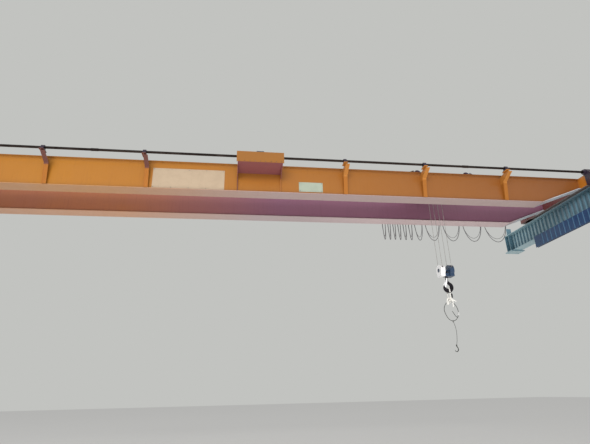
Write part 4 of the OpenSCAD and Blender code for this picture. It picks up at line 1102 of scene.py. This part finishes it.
bolt_group("coupling_set_screws", "shaft",
           [((x + dx, SHAFT_Y, SHAFT_Z + rise), way) for x in SLEEVES
            for dx in (-0.048, -0.024, 0.024, 0.048)
            for rise, way in ((SLEEVE_R - 0.001, "z"), (0.001 - SLEEVE_R, "-z"))], 0.0045)
print("case bolts:", len(case_bolts))

# %% [markdown]
# The drum's bearings stand on the trolley's frame with four bolts each, and
# three bolts hold each end cap on the hook block's axle.

# %% Bolts of the trolley and the hook block
bolt_group("drum_bearing_bolts", "trolley",
           [((TROLLEY_X + s * 0.33 + dx, DRUM_Y + dy, FRAME_TOP + 0.02), "z")
            for s in (-1, 1) for dx in (-0.034, 0.034) for dy in (-0.068, 0.068)], 0.008)
bolt_group("hook_block_cap_bolts", "hook_block",
           [((TROLLEY_X + s * 0.16, BRIDGE_Y + 0.026 * math.cos(a), -1.172 + 0.026 * math.sin(a)),
             "x" if s > 0 else "-x") for s in (-1, 1) for a in (0.5, 2.6, 4.7)], 0.006)

# %% [markdown]
# The trolley's buffers are moulded rubber with a wide foot and a narrower body,
# which two short cones in a row draw.

# %% Feet of the trolley's buffers
trolley_low, trolley_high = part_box("trolley_frame")
bm = bmesh.new()
for x, way in ((trolley_low[0], "-x"), (trolley_high[0], "x")):
    for y in (BRIDGE_Y - 0.515, BRIDGE_Y + 0.515):
        add_disc(bm, (x, y, FRAME_UNDER + 0.075), way, 0.06, 0.03, 40, 0.003, top=0.052)
        add_disc(bm, (x, y, FRAME_UNDER + 0.075), way, 0.048, 0.052, 40, 0.004, top=0.044)
feet = finish_piece(bm, "trolley_buffer_feet", "trolley", BUFFER_RUBBER)
print("buffer feet:", len(feet.data.polygons), "faces")

# %% [markdown]
# A travel wheel's axle is kept from turning by a flat bar let into a slot in its
# end. Where a gear case covers the axle's outer end no bar is seen.

# %% Keeper plates
KEEPER_THICK = 0.007
bm = bmesh.new()
for truck_x in RAILS_X:
    for side in (-1, 1):
        outer = (side > 0) == (truck_x > MID_X)
        inner_x, outer_x = sorted((truck_x + side * TRUCK_HALF,
                                   truck_x + side * (TRUCK_HALF + KEEPER_THICK)))
        for y in WHEEL_Y[1:] if outer else WHEEL_Y:
            add_block(bm, (inner_x, y - 0.046, AXLE_Z + 0.024),
                      (outer_x, y + 0.046, AXLE_Z + 0.046), 0.0015)
keepers = finish_piece(bm, "axle_keeper_plates", "bridge", BOLT_STEEL)
print("keeper plates:", len(keepers.data.polygons), "faces")

# %% [markdown]
# Rails lie loose on their beams and are held by clips: a pressed plate with a
# bolt on each side, every 625 mm.

# %% Rail clips
clip_bolts = []
bm = bmesh.new()
for rail_x in RAILS_X:
    for side in (-1, 1):
        for k in range(16):
            y = -4.69 + k * 0.6253
            x = rail_x + side * 0.052
            add_block(bm, (x - 0.03, y - 0.026, 0.525), (x + 0.03, y + 0.026, 0.539), 0.003, 1)
            add_block(bm, (rail_x + side * 0.026 - 0.012, y - 0.02, 0.538),
                      (rail_x + side * 0.026 + 0.012, y + 0.02, 0.546), 0.002, 1)
            clip_bolts.append(((x + side * 0.006, y, 0.539), "z"))
clips = finish_piece(bm, "runway_rail_clips", "runway", RAIL_STEEL)
bolt_group("rail_clip_bolts", "runway", clip_bolts, 0.010)
print("clips:", len(clip_bolts), "with", len(clips.data.polygons), "faces")

# %% [markdown]
# The conductor duct is stiffened by pressed pleats every 155 mm, which catch
# the light on its side. Each one is a shallow rounded strip on the duct's wall,
# painted a lighter blue than the duct: a painted highlight.

# %% Pleats of the conductor duct
duct_low, duct_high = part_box("conductor_duct")
DUCT_X = 14.75
PLEAT_PITCH = 0.155
bm = bmesh.new()
for k in range(int((duct_high[1] - duct_low[1] - 0.1) / PLEAT_PITCH)):
    y = duct_low[1] + 0.08 + PLEAT_PITCH * k
    for side in (-1, 1):
        x = DUCT_X + side * 0.03
        add_block(bm, (x - 0.004, y - 0.013, -0.262), (x + 0.004, y + 0.013, 0.008), 0.0035, 1)
pleats = finish_piece(bm, "conductor_duct_pleats", "runway", PLEAT_PAINT)
print("pleats:", len(pleats.data.polygons), "faces")

# %% [markdown]
# The platform's front panel is a folded sheet: its sides and its top edge are
# turned inwards to make it stiff, and a row of bolts joins it to the shelf.

# %% Folds and bolts of the front panel
panel_low, panel_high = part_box("platform_front_panel")
SHEET = 0.005
fold_y, edge_y = panel_high[1] - 0.001, panel_high[1] + 0.03
bm = bmesh.new()
for x0, x1, z0 in ((panel_low[0], panel_low[0] + SHEET, panel_low[2]),
                   (panel_high[0] - SHEET, panel_high[0], panel_low[2]),
                   (panel_low[0], panel_high[0], panel_high[2] - SHEET)):
    add_block(bm, (x0, fold_y, z0), (x1, edge_y, panel_high[2]), 0.0015)
finish_piece(bm, "front_panel_folds", "bridge", PANEL_PAINT)
bolt_group("front_panel_bolts", "bridge",
           [((panel_low[0] + 0.05 + 0.105 * k, panel_low[1], panel_low[2] + 0.02), "-y")
            for k in range(9)], 0.007)
print("panel:", round(panel_high[0] - panel_low[0], 3), "m wide")

# %% Close
print("sizes written")
bpy.context.scene.view_settings.view_transform = "Standard"
